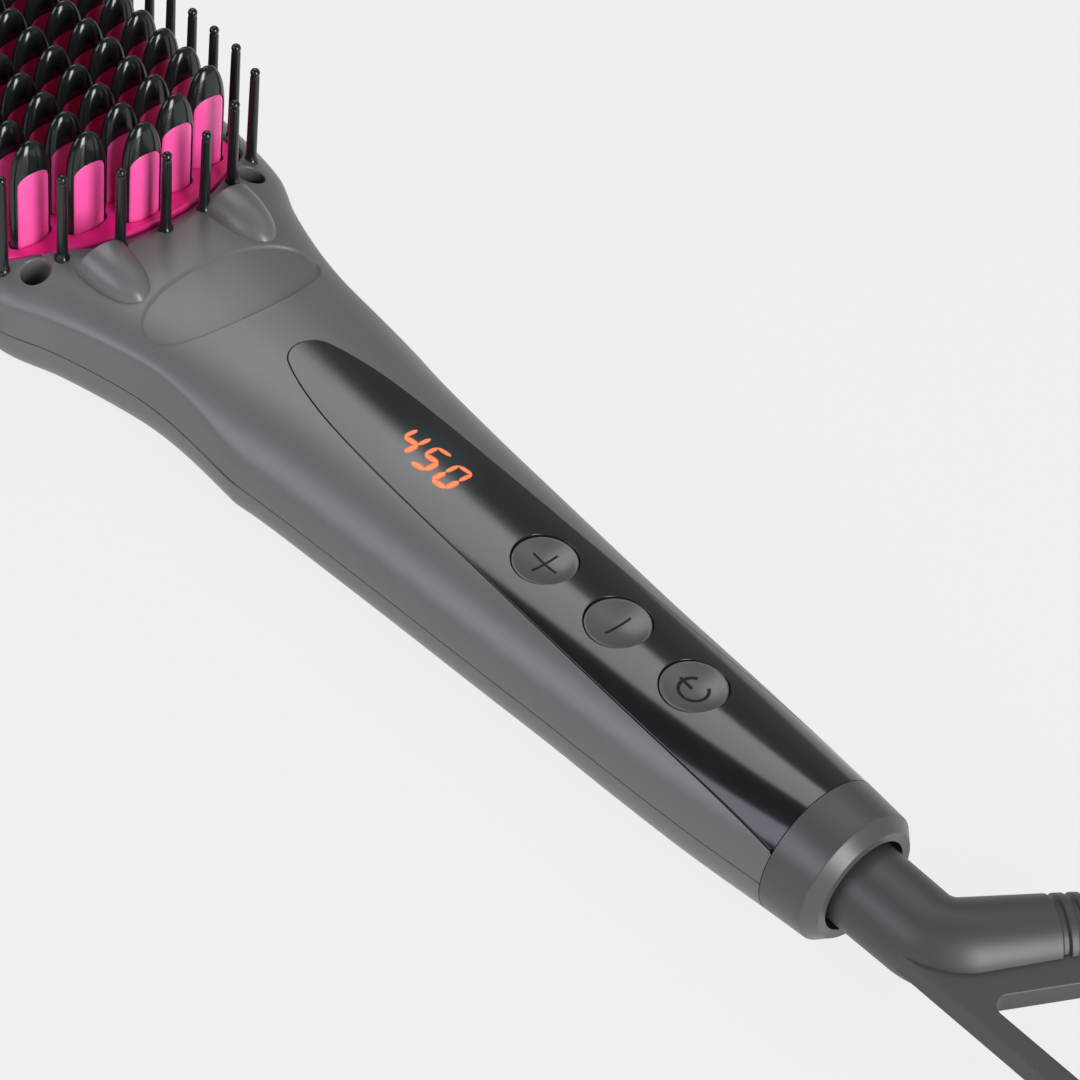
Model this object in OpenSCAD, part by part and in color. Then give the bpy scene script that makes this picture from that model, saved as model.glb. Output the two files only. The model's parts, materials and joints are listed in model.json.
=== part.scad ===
// Heated hair-straightening brush, lying on its back with the bristles up.
// X runs across the brush, Y along it towards the head's tip, Z up out of the teeth.
// The origin is on the flat back face, below the middle of the bristle field.

/* [Head] */
// Half width of the head at the seam between the shells
head_half_w = 32; // [31.8:0.1:32.4]
// Distance from the middle of the head to its tip
head_half_l = 47.5; // [47:0.1:48.5]
// Height of the crown of the head
crown_z = 22.4; // [22.2:0.1:22.6]
// Height of the seam at the head
seam_z = 10.5; // [10.4:0.1:10.6]
// Wall thickness of both shells
wall = 2; // [1.8:0.1:2.2]

/* [Heat plate] */
// Half width of the pink plate
plate_half_w = 25.5; // [25.2:0.1:25.6]
// Half length of the pink plate
plate_half_l = 38.4; // [38:0.1:38.6]
// Radius of the plate's curved ends
plate_end_r = 40.3; // [39.5:0.1:41]
// Radius of the plate's corners
plate_corner_r = 3; // [2.5:0.1:4]
// Height of the plate at its middle line
plate_z = 21.2; // [21:0.1:21.4]
// Radius of the crown across the plate
plate_crown_r = 143; // [120:1:180]

/* [Teeth] */
// Distance between the columns of teeth
tooth_pitch_x = 9; // [8.8:0.1:9.2]
// Distance between the rows of teeth
tooth_pitch_y = 6.3; // [6.2:0.05:6.4]
// Teeth in the middle column
tooth_rows = 12; // [10:2:12]
// Half width of a tooth, across the brush
tooth_half_w = 3.9; // [3.6:0.1:4]
// Half thickness of a tooth, along the brush
tooth_half_t = 1.9; // [1.7:0.1:2]
// Height of the tooth tips above the back face
tooth_tip_z = 40; // [38:0.5:41]
// Height of the rounded nose of a cap
nose_h = 9; // [8:0.5:10]
// Half width of the window in a cap
window_half_w = 3.2; // [3:0.1:3.3]

/* [Guard pins] */
// Height of the pin tips above the back face
pin_tip_z = 38.4; // [36:0.1:39]
// Radius of a pin
pin_r = 0.85; // [0.7:0.05:0.9]
// Radius of the sleeve that seats a pin in the shell
pin_sleeve_r = 1.05; // [1:0.05:1.1]

/* [Control panel] */
// Radius of a button
button_r = 5.25; // [5:0.05:5.25]
// Gap around a button
button_gap = 0.15; // [0.1:0.05:0.2]
// Distance between the buttons
button_pitch = 16.55; // [16:0.05:17]
// Travel of a button
button_travel = 0.4; // [0.3:0.1:0.4]

/* [Swivel end] */
// Radius of the collar where it meets the handle
collar_r = 11.8; // [11.7:0.05:11.85]
// Radius of the hole in the collar's end
collar_hole_r = 7.85; // [7.7:0.05:8]
// Radius of the boot at the collar
boot_r = 7.05; // [6.9:0.05:7.1]
// Angle that the boot turns the cord through
boot_turn = 60; // [55:1:65]
// Radius of the cord bore
cord_bore_r = 3.1; // [2.8:0.1:3.2]

/* [Hidden] */
$fn = 40;

// Small gap between pieces that are fitted to each other
gap = 0.1;

// ---- Shape of the two shells -------------------------------------------------------------

// Stations along the brush: place, crown half width, side half width, top, seam, bottom,
// exponent of the crown, exponent of the back
BODY = [
    [-198.7, 11.8, 14.65, 25.6, 13.8, 2.0, 2.00, 2.0],
    [-185.0, 13.2, 17.0, 24.6, 13.1, 1.2, 2.05, 2.1],
    [-170.0, 14.3, 19.0, 23.8, 12.6, 0.9, 2.10, 2.2],
    [-155.0, 15.2, 21.0, 23.3, 12.1, 0.5, 2.10, 2.2],
    [-140.0, 16.2, 22.5, 23.0, 11.6, 0.2, 2.15, 2.3],
    [-125.0, 17.2, 23.0, 22.8, 11.2, 0.0, 2.20, 2.4],
    [-110.0, 18.3, 22.7, 22.7, 10.8, -0.2, 2.20, 2.5],
    [-93.0, 19.8, 21.3, 22.7, seam_z, -0.3, 2.20, 2.6],
    [-85.0, 20.9, 20.6, 22.7, seam_z, -0.4, 2.20, 2.7],
    [-73.0, 22.3, 20.2, 22.7, seam_z, -0.4, 2.30, 2.8],
    [-64.0, 23.3, 20.8, 22.6, seam_z, -0.4, 2.35, 2.9],
    [-55.0, 24.8, 22.8, 22.5, seam_z, -0.4, 2.40, 3.0],
    [-45.0, 27.4, 26.0, crown_z, seam_z, -0.4, 2.50, 3.0],
    [-36.0, 31.0, head_half_w - 2.1, crown_z, seam_z, -0.4, 2.55, 3.0],
    [-22.0, head_half_w + 0.8, head_half_w - 0.4, crown_z, seam_z, -0.4, 2.55, 3.0],
    [0.0, head_half_w + 1.3, head_half_w, crown_z, seam_z, -0.4, 2.55, 3.0]
];
CROWN = 1;
SIDE = 2;
TOP = 3;
SEAM = 4;
BOTTOM = 5;
CROWN_EXP = 6;
BACK_EXP = 7;
LAST = len(BODY) - 1;

// Smooth curve through one column of the stations
function station(y, i = 0) = (i >= LAST - 1 || y < BODY[i + 1][0]) ? i : station(y, i + 1);
function rise(a, b, c) = (BODY[b][c] - BODY[a][c]) / (BODY[b][0] - BODY[a][0]);
function tangent(i, c) = i == LAST ? 0 : i == 0 ? rise(0, 1, c) : rise(i - 1, i + 1, c);
function hermite(i, c, y) =
    let (h = BODY[i + 1][0] - BODY[i][0], t = (y - BODY[i][0]) / h)
    let (a = 2 * t * t * t - 3 * t * t + 1, b = t * t * t - 2 * t * t + t)
    let (d = t * t * t - t * t)
    a * BODY[i][c] + b * h * tangent(i, c) + (1 - a) * BODY[i + 1][c] + d * h * tangent(i + 1, c);
function along(y, c) = hermite(station(min(y, 0)), c, min(y, 0));

// Share of the width that is left towards the rounded tip of the head
tip_exp = 3.6;
top_tip_exp = 8;
function tip_w(y, d) = y <= 0 ? 1 : pow(max(0, 1 - pow(y / (head_half_l - d), tip_exp)), 1 / tip_exp);
function tip_h(y, d) =
    y <= 0 ? 1 : pow(max(0, 1 - pow(y / (head_half_l + 0.8 - d), top_tip_exp)), 1 / along(0, CROWN_EXP));

// Values of the section at y, for a surface that lies a depth d below the outside
function crown_w(y, d = 0) = (along(y, CROWN) - d) * tip_w(y, d);
function side_w(y, d = 0) = (along(y, SIDE) - d) * tip_w(y, d);
function seam(y) = along(y, SEAM);
function top_z(y, d = 0) = seam(y) + (along(y, TOP) - d - seam(y)) * tip_h(y, d);
function bottom_z(y, d = 0) = seam(y) - (seam(y) - along(y, BOTTOM) - d) * tip_h(y, d);
side_draft = 0.12;

// Height of the outside above a point of the head or the handle
function crown_at(x, y, d = 0) =
    seam(y) + (top_z(y, d) - seam(y))
    * pow(max(0, 1 - pow(abs(x) / crown_w(y, d), along(y, CROWN_EXP))), 1 / along(y, CROWN_EXP));

// Upper half of a section, from the right seam over the top to the left seam
function upper_arc(y, d, n) = [
    for (i = [-n:n])
        let (a = 90 * i / n, e = 2 / along(y, CROWN_EXP))
        let (z = (top_z(y, d) - seam(y)) * pow(cos(a), e))
        let (x = min(crown_w(y, d) * pow(abs(sin(a)), e), side_w(y, d) - side_draft * z))
        [-sign(i) * x, y, seam(y) + z]
];

// Lower half of a section, from the left seam under the back to the right seam
function lower_arc(y, d, n) = [
    for (i = [-n:n])
        let (a = 90 * i / n, e = 2 / along(y, BACK_EXP))
        [
            sign(i) * min(crown_w(y, d), side_w(y, d)) * pow(abs(sin(a)), e),
            y,
            seam(y) - (seam(y) - bottom_z(y, d)) * pow(cos(a), e)
        ]
];

// Places of the sections, from just past the collar's plane to the tip
handle_end_y = BODY[0][0];
loft_start_y = handle_end_y - 0.8;
handle_steps = 22;
tip_steps = 8;
function tip_place(k, d) = (head_half_l - d - 0.05) * (1 - pow(1 - k / tip_steps, 2.2));
function places(d, start) = concat(
    [for (k = [0:handle_steps - 1]) start - start * k / handle_steps],
    [for (k = [0:tip_steps]) tip_place(k, d)]
);

// Closed solid through a list of sections that all have the same number of points
module loft(sections) {
    n = len(sections[0]);
    m = len(sections);
    points = [for (s = sections) each s];
    sides = [
        for (j = [0:m - 2], i = [0:n - 1])
            let (a = j * n + i, b = j * n + (i + 1) % n)
            each [[a, b, b + n], [a, b + n, a + n]]
    ];
    ends = [[for (i = [n - 1:-1:0]) i], [for (i = [0:n - 1]) (m - 1) * n + i]];
    polyhedron(points, concat(sides, ends), convexity = 8);
}

// Solid below the outside of the upper half, down to the seam or a little past it
module upper_solid(d, n, start = loft_start_y, skirt = 0) {
    loft([
        for (y = places(d, start))
            let (arc = upper_arc(y, d, n))
            skirt == 0 ? arc : concat(arc, [
                [arc[2 * n][0], y, seam(y) - skirt],
                [arc[0][0], y, seam(y) - skirt]
            ])
    ]);
}

module lower_solid(d, n, start = loft_start_y, skirt = 0) {
    loft([
        for (y = places(d, start))
            let (arc = lower_arc(y, d, n))
            skirt == 0 ? arc : concat(arc, [
                [arc[2 * n][0], y, seam(y) + skirt],
                [arc[0][0], y, seam(y) + skirt]
            ])
    ]);
}

// Superellipse of half width a, half length b and exponent e
function squircle(a, b, e, n) = [
    for (i = [0:n - 1])
        let (t = 360 * i / n)
        [
            a * sign(cos(t)) * pow(abs(cos(t)), 2 / e),
            b * sign(sin(t)) * pow(abs(sin(t)), 2 / e)
        ]
];

// Outline of the plate, its window and what lies below them: straight sides, ends that are
// arcs about a point just past the middle, and rounded corners between them
plate_corner_n = 4;
plate_end_n = 8;
end_centre_y = plate_half_l - plate_end_r;
corner_x = plate_half_w - plate_corner_r;
corner_turn = acos(corner_x / (plate_end_r - plate_corner_r));
corner_y = end_centre_y + (plate_end_r - plate_corner_r) * sin(corner_turn);
function plate_quarter(grow) = concat(
    [
        for (k = [0:plate_corner_n])
            let (a = corner_turn * k / plate_corner_n, r = plate_corner_r + grow)
            [corner_x + r * cos(a), corner_y + r * sin(a)]
    ],
    [
        for (k = [1:plate_end_n])
            let (a = corner_turn + (90 - corner_turn) * k / plate_end_n, r = plate_end_r + grow)
            [r * cos(a), end_centre_y + r * sin(a)]
    ]
);
function reversed(p) = [for (i = [len(p) - 1:-1:0]) p[i]];
module plate_outline(grow) {
    q = plate_quarter(grow);
    half = concat(q, [for (p = reversed(q)) if (p[0] > 0.01) [-p[0], p[1]]]);
    polygon(concat(half, [for (p = half) [-p[0], -p[1]]]));
}

// ---- Places of the repeated pieces -----------------------------------------------------

// Centres of the teeth: five columns, each a row shorter than the one inside it
columns = [-2:2];
teeth = [
    for (c = columns)
        let (n = tooth_rows - abs(c))
        for (r = [0:n - 1]) [c * tooth_pitch_x, (r - (n - 1) / 2) * tooth_pitch_y]
];

// Centres of the guard pins: nine along each side, the rest follow the plate's ends
side_pin_x = 27.4;
side_pin_pitch = 6.125;
end_pins = [[25.85, 31.76], [17.6, 36.9], [8.7, 40.8]];
pins = concat(
    [for (s = [-1, 1], k = [-4:4]) [s * side_pin_x, k * side_pin_pitch]],
    [for (s = [-1, 1], t = [-1, 1], p = end_pins) [s * p[0], t * p[1]]],
    [[0, -41.6], [0, 41.6]]
);

// Screw wells at the corners of the head
well_x = 22.4;
well_y = 36.05;
well_r = 2.45;
corners = [for (sx = [-1, 1], sy = [-1, 1]) [sx * well_x, sy * well_y]];

// Buttons, from the head to the collar
button_y = [for (k = [0:2]) -137.65 - k * button_pitch];
button_top = [for (y = button_y) crown_at(0, y) - 0.55];

// ---- Shells ----------------------------------------------------------------------------

shell_color = [0.33, 0.33, 0.34];
black = [0.03, 0.035, 0.035];
pink = [1.0, 0.1, 0.53];
// Height that clears the seam everywhere, from which cuts into the crown start
above_seam_z = 15;

// Hooded outlets behind the plate, each a half bullet that points to the handle
hood_x = 13;
hood_front_y = -42;
hood_l = 11.5;
hood_w = 4.9;
hood_h = 3.4;
hood_root = 0.8;
hood_rake = 40;
hood_n = 12;
hood_rings = 5;
module hood_body() {
    loft([
        for (k = [hood_rings:-1:0])
            let (t = 0.96 * k / hood_rings, s = sqrt(1 - t * t), y = hood_front_y - t * hood_l)
            [
                for (i = [0:hood_n])
                    let (a = 180 * i / hood_n)
                    [
                        hood_w * s * cos(a),
                        y,
                        crown_at(hood_x, y) - hood_root + (hood_h + hood_root) * s * sin(a)
                    ]
            ]
    ]);
}
module hood(side) {
    translate([side * hood_x, 0, 0])
        difference() {
            hood_body();
            translate([0, hood_front_y, crown_at(hood_x, hood_front_y) - hood_root / 2])
                rotate([hood_rake, 0, 0])
                    translate([-8, 0, -6]) cube([16, 8, 16]);
        }
}
// Outlet in the hood's slanted face, and the way up to it for the lead
outlet_r = 1.5;
outlet_back_y = hood_front_y - 5.8;
outlet_z = crown_at(hood_x, hood_front_y) + 1.1;
lead_hole_r = 1;
module hood_bores(side) {
    translate([side * hood_x, outlet_back_y, outlet_z])
        rotate([-90, 0, 0]) cylinder(h = 8, r = outlet_r);
    translate([side * hood_x, outlet_back_y, above_seam_z])
        cylinder(h = outlet_z - above_seam_z, r = lead_hole_r);
}

// Oval recess on the neck
oval_y = -59.85;
oval_half_w = 17.2;
oval_half_l = 7.4;
oval_exp = 2.3;
oval_depth = 0.5;
oval_crown_r = 58;
module oval_cut() {
    difference() {
        translate([0, oval_y, above_seam_z])
            linear_extrude(12) polygon(squircle(oval_half_w, oval_half_l, oval_exp, 40));
        translate([0, oval_y - 12, top_z(oval_y) - oval_depth - oval_crown_r])
            rotate([-90, 0, 0]) cylinder(h = 24, r = oval_crown_r, $fn = 90);
    }
}

// Outline of the control panel: a rounded tip, then the half width at each place along it
panel_tip_y = -77.2;
panel_tip_r = 4.6;
panel_w = [[-83.5, 5.3], [-88, 6.4], [-94, 7.35], [-104, 8.05], [-118, 8.6], [-134, 9.05], [-152, 9.5],
           [-172, 9.95], [-198.7, 10.25]];
panel_tip_n = 10;
panel_tip_turn = 80;
function panel_side(grow, s) = concat(
    [
        for (k = [0:panel_tip_n])
            let (a = panel_tip_turn * k / panel_tip_n)
            [
                s * (panel_tip_r + grow) * sin(a),
                panel_tip_y - panel_tip_r + (panel_tip_r + grow) * cos(a)
            ]
    ],
    [for (p = panel_w) [s * (p[1] + grow), p[0]]]
);
module panel_outline(grow) {
    right = panel_side(grow, 1);
    left = panel_side(grow, -1);
    polygon(concat(right, [for (i = [len(left) - 1:-1:1]) left[i]]));
}
panel_t = 1.2;
ledge_w = 1.6;
module panel_prism(grow) {
    translate([0, 0, above_seam_z]) linear_extrude(15) panel_outline(grow);
}
// Way through the shell below the display and the buttons, inside the ledge that carries the panel
window_end_y = [-98, -176];
module panel_window() {
    intersection() {
        panel_prism(-ledge_w);
        translate([-15, window_end_y[1], 0]) cube([30, window_end_y[0] - window_end_y[1], 40]);
    }
}

// Corner wells end in posts that carry the case screws; three more posts stand in the handle
post_r = 3.3;
post_floor_t = 1.5;
screw_hole_r = 1.6;
handle_post_r = 2.8;
handle_post_z = 5.6;
handle_posts = [[-12.6, -102], [12.6, -102], [0, -181]];
pilot_r = 1.15;

module shell_posts() {
    intersection() {
        upper_solid(wall / 2, 7, loft_start_y, 6);
        union() {
            for (p = corners)
                translate([p[0], p[1], seam_z + gap]) cylinder(h = 14, r = post_r);
            for (p = handle_posts)
                translate([p[0], p[1], handle_post_z]) cylinder(h = 18, r = handle_post_r);
        }
    }
}

module front_shell() {
    color(shell_color)
        difference() {
            union() {
                difference() {
                    upper_solid(0, 9);
                    upper_solid(wall, 7, handle_end_y - 2, 1);
                }
                shell_posts();
                for (s = [-1, 1]) hood(s);
            }
            translate([0, 0, seam_z - 1]) linear_extrude(20) plate_outline(0.25);
            for (p = pins)
                translate([p[0], p[1], seam_z + 1]) cylinder(h = 16, r = pin_sleeve_r + gap / 2, $fn = 32);
            for (p = corners) {
                translate([p[0], p[1], seam_z + gap + post_floor_t]) cylinder(h = 16, r = well_r);
                translate([p[0], p[1], seam_z - 1]) cylinder(h = 4, r = screw_hole_r);
            }
            for (p = handle_posts)
                translate([p[0], p[1], handle_post_z - 1]) cylinder(h = 7.5, r = pilot_r);
            oval_cut();
            difference() {
                panel_prism(gap);
                upper_solid(panel_t + 0.05, 9);
            }
            panel_window();
            for (s = [-1, 1]) hood_bores(s);
            beyond_shells();
        }
}

// Rear posts below the wells, bosses for the handle's screws, and ribs below the boards
rear_post_r = 3.0;
boss_r = 3.2;
screw_seat_z = 2.9;
handle_screw_head_r = 2.4;
rib_t = 1.6;
generator_z = 8;
power_board_z = 7.6;
board_t = 1.4;
generator_ribs = [-76, -90];
power_ribs = [-124, -166];

module rear_cover() {
    color(shell_color)
        difference() {
            union() {
                difference() {
                    lower_solid(0, 9);
                    lower_solid(wall, 7, handle_end_y - 2, 1);
                }
                intersection() {
                    lower_solid(0.3, 7);
                    union() {
                        for (p = corners)
                            translate([p[0], p[1], 0]) cylinder(h = seam_z, r = rear_post_r);
                        for (p = handle_posts)
                            translate([p[0], p[1], 0]) cylinder(h = handle_post_z - gap, r = boss_r);
                        for (y = generator_ribs)
                            translate([-8, y - rib_t / 2, 0]) cube([16, rib_t, generator_z - gap / 2]);
                        for (y = power_ribs)
                            translate([-8, y - rib_t / 2, 0])
                                cube([16, rib_t, power_board_z - board_t - gap / 2]);
                    }
                }
            }
            translate([-40, -210, -3]) cube([80, 270, 3]);
            for (p = corners)
                translate([p[0], p[1], 4.6]) cylinder(h = 8, r = pilot_r);
            for (p = handle_posts) {
                translate([p[0], p[1], -1]) cylinder(h = screw_seat_z + 1, r = handle_screw_head_r);
                translate([p[0], p[1], -1]) cylinder(h = 8, r = screw_hole_r);
            }
            beyond_shells();
        }
}

// ---- Heat plate and teeth ---------------------------------------------------------------

cover_bottom_z = 18.2;
block_top_z = 18;
block_bottom_z = 15;

// Plan of a tooth, as an ellipse with sixteen sides
tooth_n = 16;
module tooth_plan(grow) {
    polygon([
        for (i = [0:tooth_n - 1])
            let (a = 360 * (i + 0.5) / tooth_n)
            [(tooth_half_w + grow) * cos(a), (tooth_half_t + grow) * sin(a)]
    ]);
}

// Front of a tooth: straight legs and a rounded nose, from z0 up
nose_n = 10;
module bullet(half, z0, nose, n) {
    polygon(concat(
        [[-half, z0], [half, z0]],
        [
            for (i = [0:n])
                let (a = 180 * i / n)
                [half * cos(a), tooth_tip_z - nose + nose * sin(a)]
        ]
    ));
}

// Window of a cap and front of a fin: straight sides and a low arch
arch_rise = 2.6;
arch_top_z = 36.2;
arch_n = 8;
module arch(shrink, z0) {
    half = window_half_w - shrink;
    spring = arch_top_z - arch_rise;
    polygon(concat(
        [[-half, z0], [half, z0]],
        [
            for (i = [0:arch_n])
                let (a = 180 * i / arch_n)
                [half * cos(a), spring + (arch_rise - shrink) * sin(a)]
        ]
    ));
}

// Extrudes an outline drawn in the X-Z plane over the thickness of a tooth
module across_y(half) {
    translate([0, half, 0]) rotate([90, 0, 0]) linear_extrude(2 * half) children();
}
module across_x(half) {
    translate([-half, 0, 0]) rotate([90, 0, 90]) linear_extrude(2 * half) children();
}

module heat_plate() {
    color(pink)
        difference() {
            intersection() {
                translate([0, 0, cover_bottom_z]) linear_extrude(4) plate_outline(0);
                translate([0, -45, plate_z - plate_crown_r])
                    rotate([-90, 0, 0]) cylinder(h = 90, r = plate_crown_r, $fn = 180);
            }
            for (t = teeth)
                translate([t[0], t[1], cover_bottom_z - 1])
                    linear_extrude(5) tooth_plan(0.15);
        }
}

module heat_fins() {
    color(pink)
        for (t = teeth)
            translate([t[0], t[1], 0])
                intersection() {
                    translate([0, 0, block_top_z]) linear_extrude(20) tooth_plan(-0.1);
                    across_y(3) arch(gap, block_top_z);
                }
}

module tooth_caps() {
    color(black)
        for (t = teeth)
            translate([t[0], t[1], 0])
                difference() {
                    intersection() {
                        translate([0, 0, block_top_z + gap]) linear_extrude(24) tooth_plan(0);
                        across_y(4) bullet(tooth_half_w, 10, nose_h, nose_n);
                        across_x(5) bullet(tooth_half_t, 10, nose_h, nose_n);
                    }
                    across_y(5) arch(0, 10);
                }
}

module guard_pins() {
    color(black)
        for (p = pins)
            translate([p[0], p[1], 0]) {
                base = crown_at(p[0], p[1]);
                translate([0, 0, frame_bottom_z + 0.5])
                    cylinder(h = base - frame_bottom_z, r = pin_sleeve_r);
                translate([0, 0, base]) cylinder(h = pin_tip_z - pin_r - base, r = pin_r);
                translate([0, 0, pin_tip_z - pin_r]) sphere(r = pin_r);
            }
}

module heat_block() {
    color([0.72, 0.73, 0.75])
        difference() {
            translate([0, 0, block_bottom_z])
                linear_extrude(block_top_z - block_bottom_z - gap / 2) plate_outline(-0.3);
            for (p = clamp_points)
                translate([p[0], p[1], block_bottom_z - 1]) cylinder(h = 3, r = clamp_screw_r + 0.05);
        }
}

gasket_t = 1.1;
gasket_grow = 0.7;
module plate_gasket() {
    color([0.75, 0.72, 0.66])
        difference() {
            translate([0, 0, block_bottom_z]) linear_extrude(gasket_t) plate_outline(gasket_grow);
            translate([0, 0, block_bottom_z - 1]) linear_extrude(gasket_t + 2) plate_outline(-0.2);
            pin_clearance(block_bottom_z - 1);
            post_clearance(block_bottom_z - 1);
        }
}

module pin_clearance(z) {
    for (p = pins)
        translate([p[0], p[1], z]) cylinder(h = 8, r = pin_sleeve_r + 0.05);
}
module post_clearance(z) {
    for (p = corners)
        translate([p[0], p[1], z]) cylinder(h = 8, r = post_r + 0.2);
}

frame_bottom_z = 11.5;
frame_top_z = 14.9;
module inner_frame() {
    color([0.2, 0.2, 0.2])
        difference() {
            translate([0, 0, frame_bottom_z])
                linear_extrude(frame_top_z - frame_bottom_z)
                    polygon(squircle(29.2, 44, 3.4, 56));
            translate([0, 0, frame_bottom_z - 1]) linear_extrude(6) plate_outline(-2.6);
            pin_clearance(frame_bottom_z - 1);
            post_clearance(frame_bottom_z - 1);
        }
}

// ---- Heater stack below the block ---------------------------------------------------------

heater_w = 14;
heater_l = 50;
heater_t = 1.8;
heater_x = 8.5;
mica_t = 0.4;
clamp_t = 1.1;
clamp_half_w = 19;
clamp_half_l = 30;
clamp_screw_r = 1.45;
clamp_points = [for (sx = [-1, 1], sy = [-1, 1]) [sx * 16.3, sy * 27.4]];
heater_bottom_z = block_bottom_z - 0.05 - heater_t;
mica_bottom_z = heater_bottom_z - 0.05 - mica_t;
clamp_bottom_z = mica_bottom_z - 0.05 - clamp_t;

module ceramic_heaters() {
    color([0.93, 0.92, 0.88])
        for (s = [-1, 1])
            translate([s * heater_x - heater_w / 2, -heater_l / 2, heater_bottom_z])
                cube([heater_w, heater_l, heater_t]);
}

// Flat sheet below the heaters with a hole for each clamp screw
module stack_sheet(z, t) {
    difference() {
        translate([-clamp_half_w, -clamp_half_l, z]) cube([2 * clamp_half_w, 2 * clamp_half_l, t]);
        for (p = clamp_points)
            translate([p[0], p[1], z - 1]) cylinder(h = t + 2, r = clamp_screw_r + 0.05);
    }
}
module mica_sheet() {
    color([0.8, 0.75, 0.6]) stack_sheet(mica_bottom_z, mica_t);
}
module heater_clamp() {
    color([0.6, 0.6, 0.62]) stack_sheet(clamp_bottom_z, clamp_t);
}
module clamp_screws() {
    color([0.7, 0.7, 0.68])
        for (p = clamp_points)
            translate([p[0], p[1], 0]) {
                translate([0, 0, clamp_bottom_z - 0.05 - 1.6]) cylinder(h = 1.6, r = 2.7);
                translate([0, 0, clamp_bottom_z - 0.1])
                    cylinder(h = block_bottom_z + 1.6 - clamp_bottom_z, r = clamp_screw_r);
            }
}
module thermistor() {
    color([0.15, 0.15, 0.5])
        translate([-2, 4, clamp_bottom_z - 0.05 - 1.8]) cube([4, 8, 1.8]);
}
module thermal_fuse() {
    color([0.8, 0.75, 0.5])
        translate([-6, 22, clamp_bottom_z - 0.05 - 2]) rotate([0, 90, 0]) cylinder(h = 12, r = 2);
}

// Round lead swept along a smooth curve through its route's points
lead_sides = 8;
lead_steps = 4;
function on_curve(p, i, t) =
    let (a = p[max(i - 1, 0)], b = p[i], c = p[i + 1], d = p[min(i + 2, len(p) - 1)])
    0.5 * (2 * b + (c - a) * t + (2 * a - 5 * b + 4 * c - d) * t * t
        + (3 * b - a - 3 * c + d) * t * t * t);
function curve(p) = concat(
    [for (i = [0:len(p) - 2], k = [0:lead_steps - 1]) on_curve(p, i, k / lead_steps)],
    [p[len(p) - 1]]
);
module lead(route, r) {
    path = curve(route);
    last = len(path) - 1;
    loft([
        for (i = [0:last])
            let (along = unit(path[min(i + 1, last)] - path[max(i - 1, 0)]))
            let (u = unit(cross(along, [0, 0.05, 1])), v = cross(u, along))
            [
                for (k = [0:lead_sides - 1])
                    let (a = 360 * k / lead_sides)
                    path[i] + r * (cos(a) * u + sin(a) * v)
            ]
    ]);
}

// A lead on the right and its mirror image on the left
module lead_pair(route, r) {
    for (s = [-1, 1])
        lead([for (p = route) [s * p[0], p[1], p[2]]], r);
}

heater_lead_route = [[4, -25.1, 14.05], [4, -32.4, 14.05], [4, -34.3, 13.1], [4, -34.7, 11],
                     [4, -35.2, 8.6], [4, -38.5, 6.4], [10.6, -66, 6], [10.6, -92, 6], [7, -98.5, 6],
                     [6, -108, 6.6], [6, -117.9, 6.9]];
module heater_leads() {
    color([0.85, 0.1, 0.1]) lead_pair(heater_lead_route, 0.7);
}
thermistor_lead_route = [[0.9, 3.9, 10.6], [1.5, -3, 9.4], [6, -24, 8], [9, -45, 8.5], [12.6, -68, 7.6],
                         [12.6, -90, 7.8], [8.4, -97.5, 12], [4.4, -103.9, 15.6]];
module thermistor_leads() {
    color([0.9, 0.9, 0.9]) lead_pair(thermistor_lead_route, 0.5);
}

// ---- Ion outlets ------------------------------------------------------------------------

module ion_emitters() {
    color([0.85, 0.85, 0.8])
        for (s = [-1, 1])
            translate([s * hood_x, outlet_back_y + 1.2, outlet_z])
                rotate([-90, 0, 0]) {
                    cylinder(h = 2.4, r = outlet_r - gap);
                    cylinder(h = 3.4, r = 0.35);
                }
}
generator_end_y = [-73, -93];
module ion_generator() {
    color([0.1, 0.1, 0.12])
        translate([-8, generator_end_y[1], generator_z])
            cube([16, generator_end_y[0] - generator_end_y[1], 7.5]);
}
ion_lead_route = [[6, generator_end_y[0] + 0.05, 13], [6.4, -67, 13], [10, -58, 13.5],
                  [13, -51, 15.5], [13, outlet_back_y, 18.5], [13, outlet_back_y, 22.3]];
module ion_leads() {
    color([0.9, 0.9, 0.9]) lead_pair(ion_lead_route, 0.6);
}

// ---- Fasteners --------------------------------------------------------------------------

module head_screws() {
    color([0.5, 0.5, 0.5])
        for (p = corners)
            translate([p[0], p[1], 0]) {
                translate([0, 0, seam_z + gap + post_floor_t + 0.05]) cylinder(h = 1.7, r = 2.3);
                translate([0, 0, 5]) cylinder(h = seam_z - 3, r = pilot_r - 0.05);
            }
}

// ---- Controls ---------------------------------------------------------------------------

module control_panel() {
    color([0.05, 0.05, 0.055])
        difference() {
            intersection() {
                panel_prism(0);
                upper_solid(0, 9);
            }
            upper_solid(panel_t, 9);
            for (y = button_y)
                translate([0, y, seam_z]) cylinder(h = 20, r = button_r + button_gap);
            beyond_shells();
        }
}

// Pillars between the panel and the control board
board_top_z = 16.2;
pillar_r = 1.2;
pillar_x = 6.4;
pillars = [for (sx = [-1, 1], y = [-128, -162.5]) [sx * pillar_x, y]];
module board_pillars() {
    color([0.85, 0.85, 0.8])
        for (p = pillars)
            translate([p[0], p[1], board_top_z + 0.02])
                cylinder(h = crown_at(pillar_x + pillar_r, p[1], wall) - gap - board_top_z, r = pillar_r);
}

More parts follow.
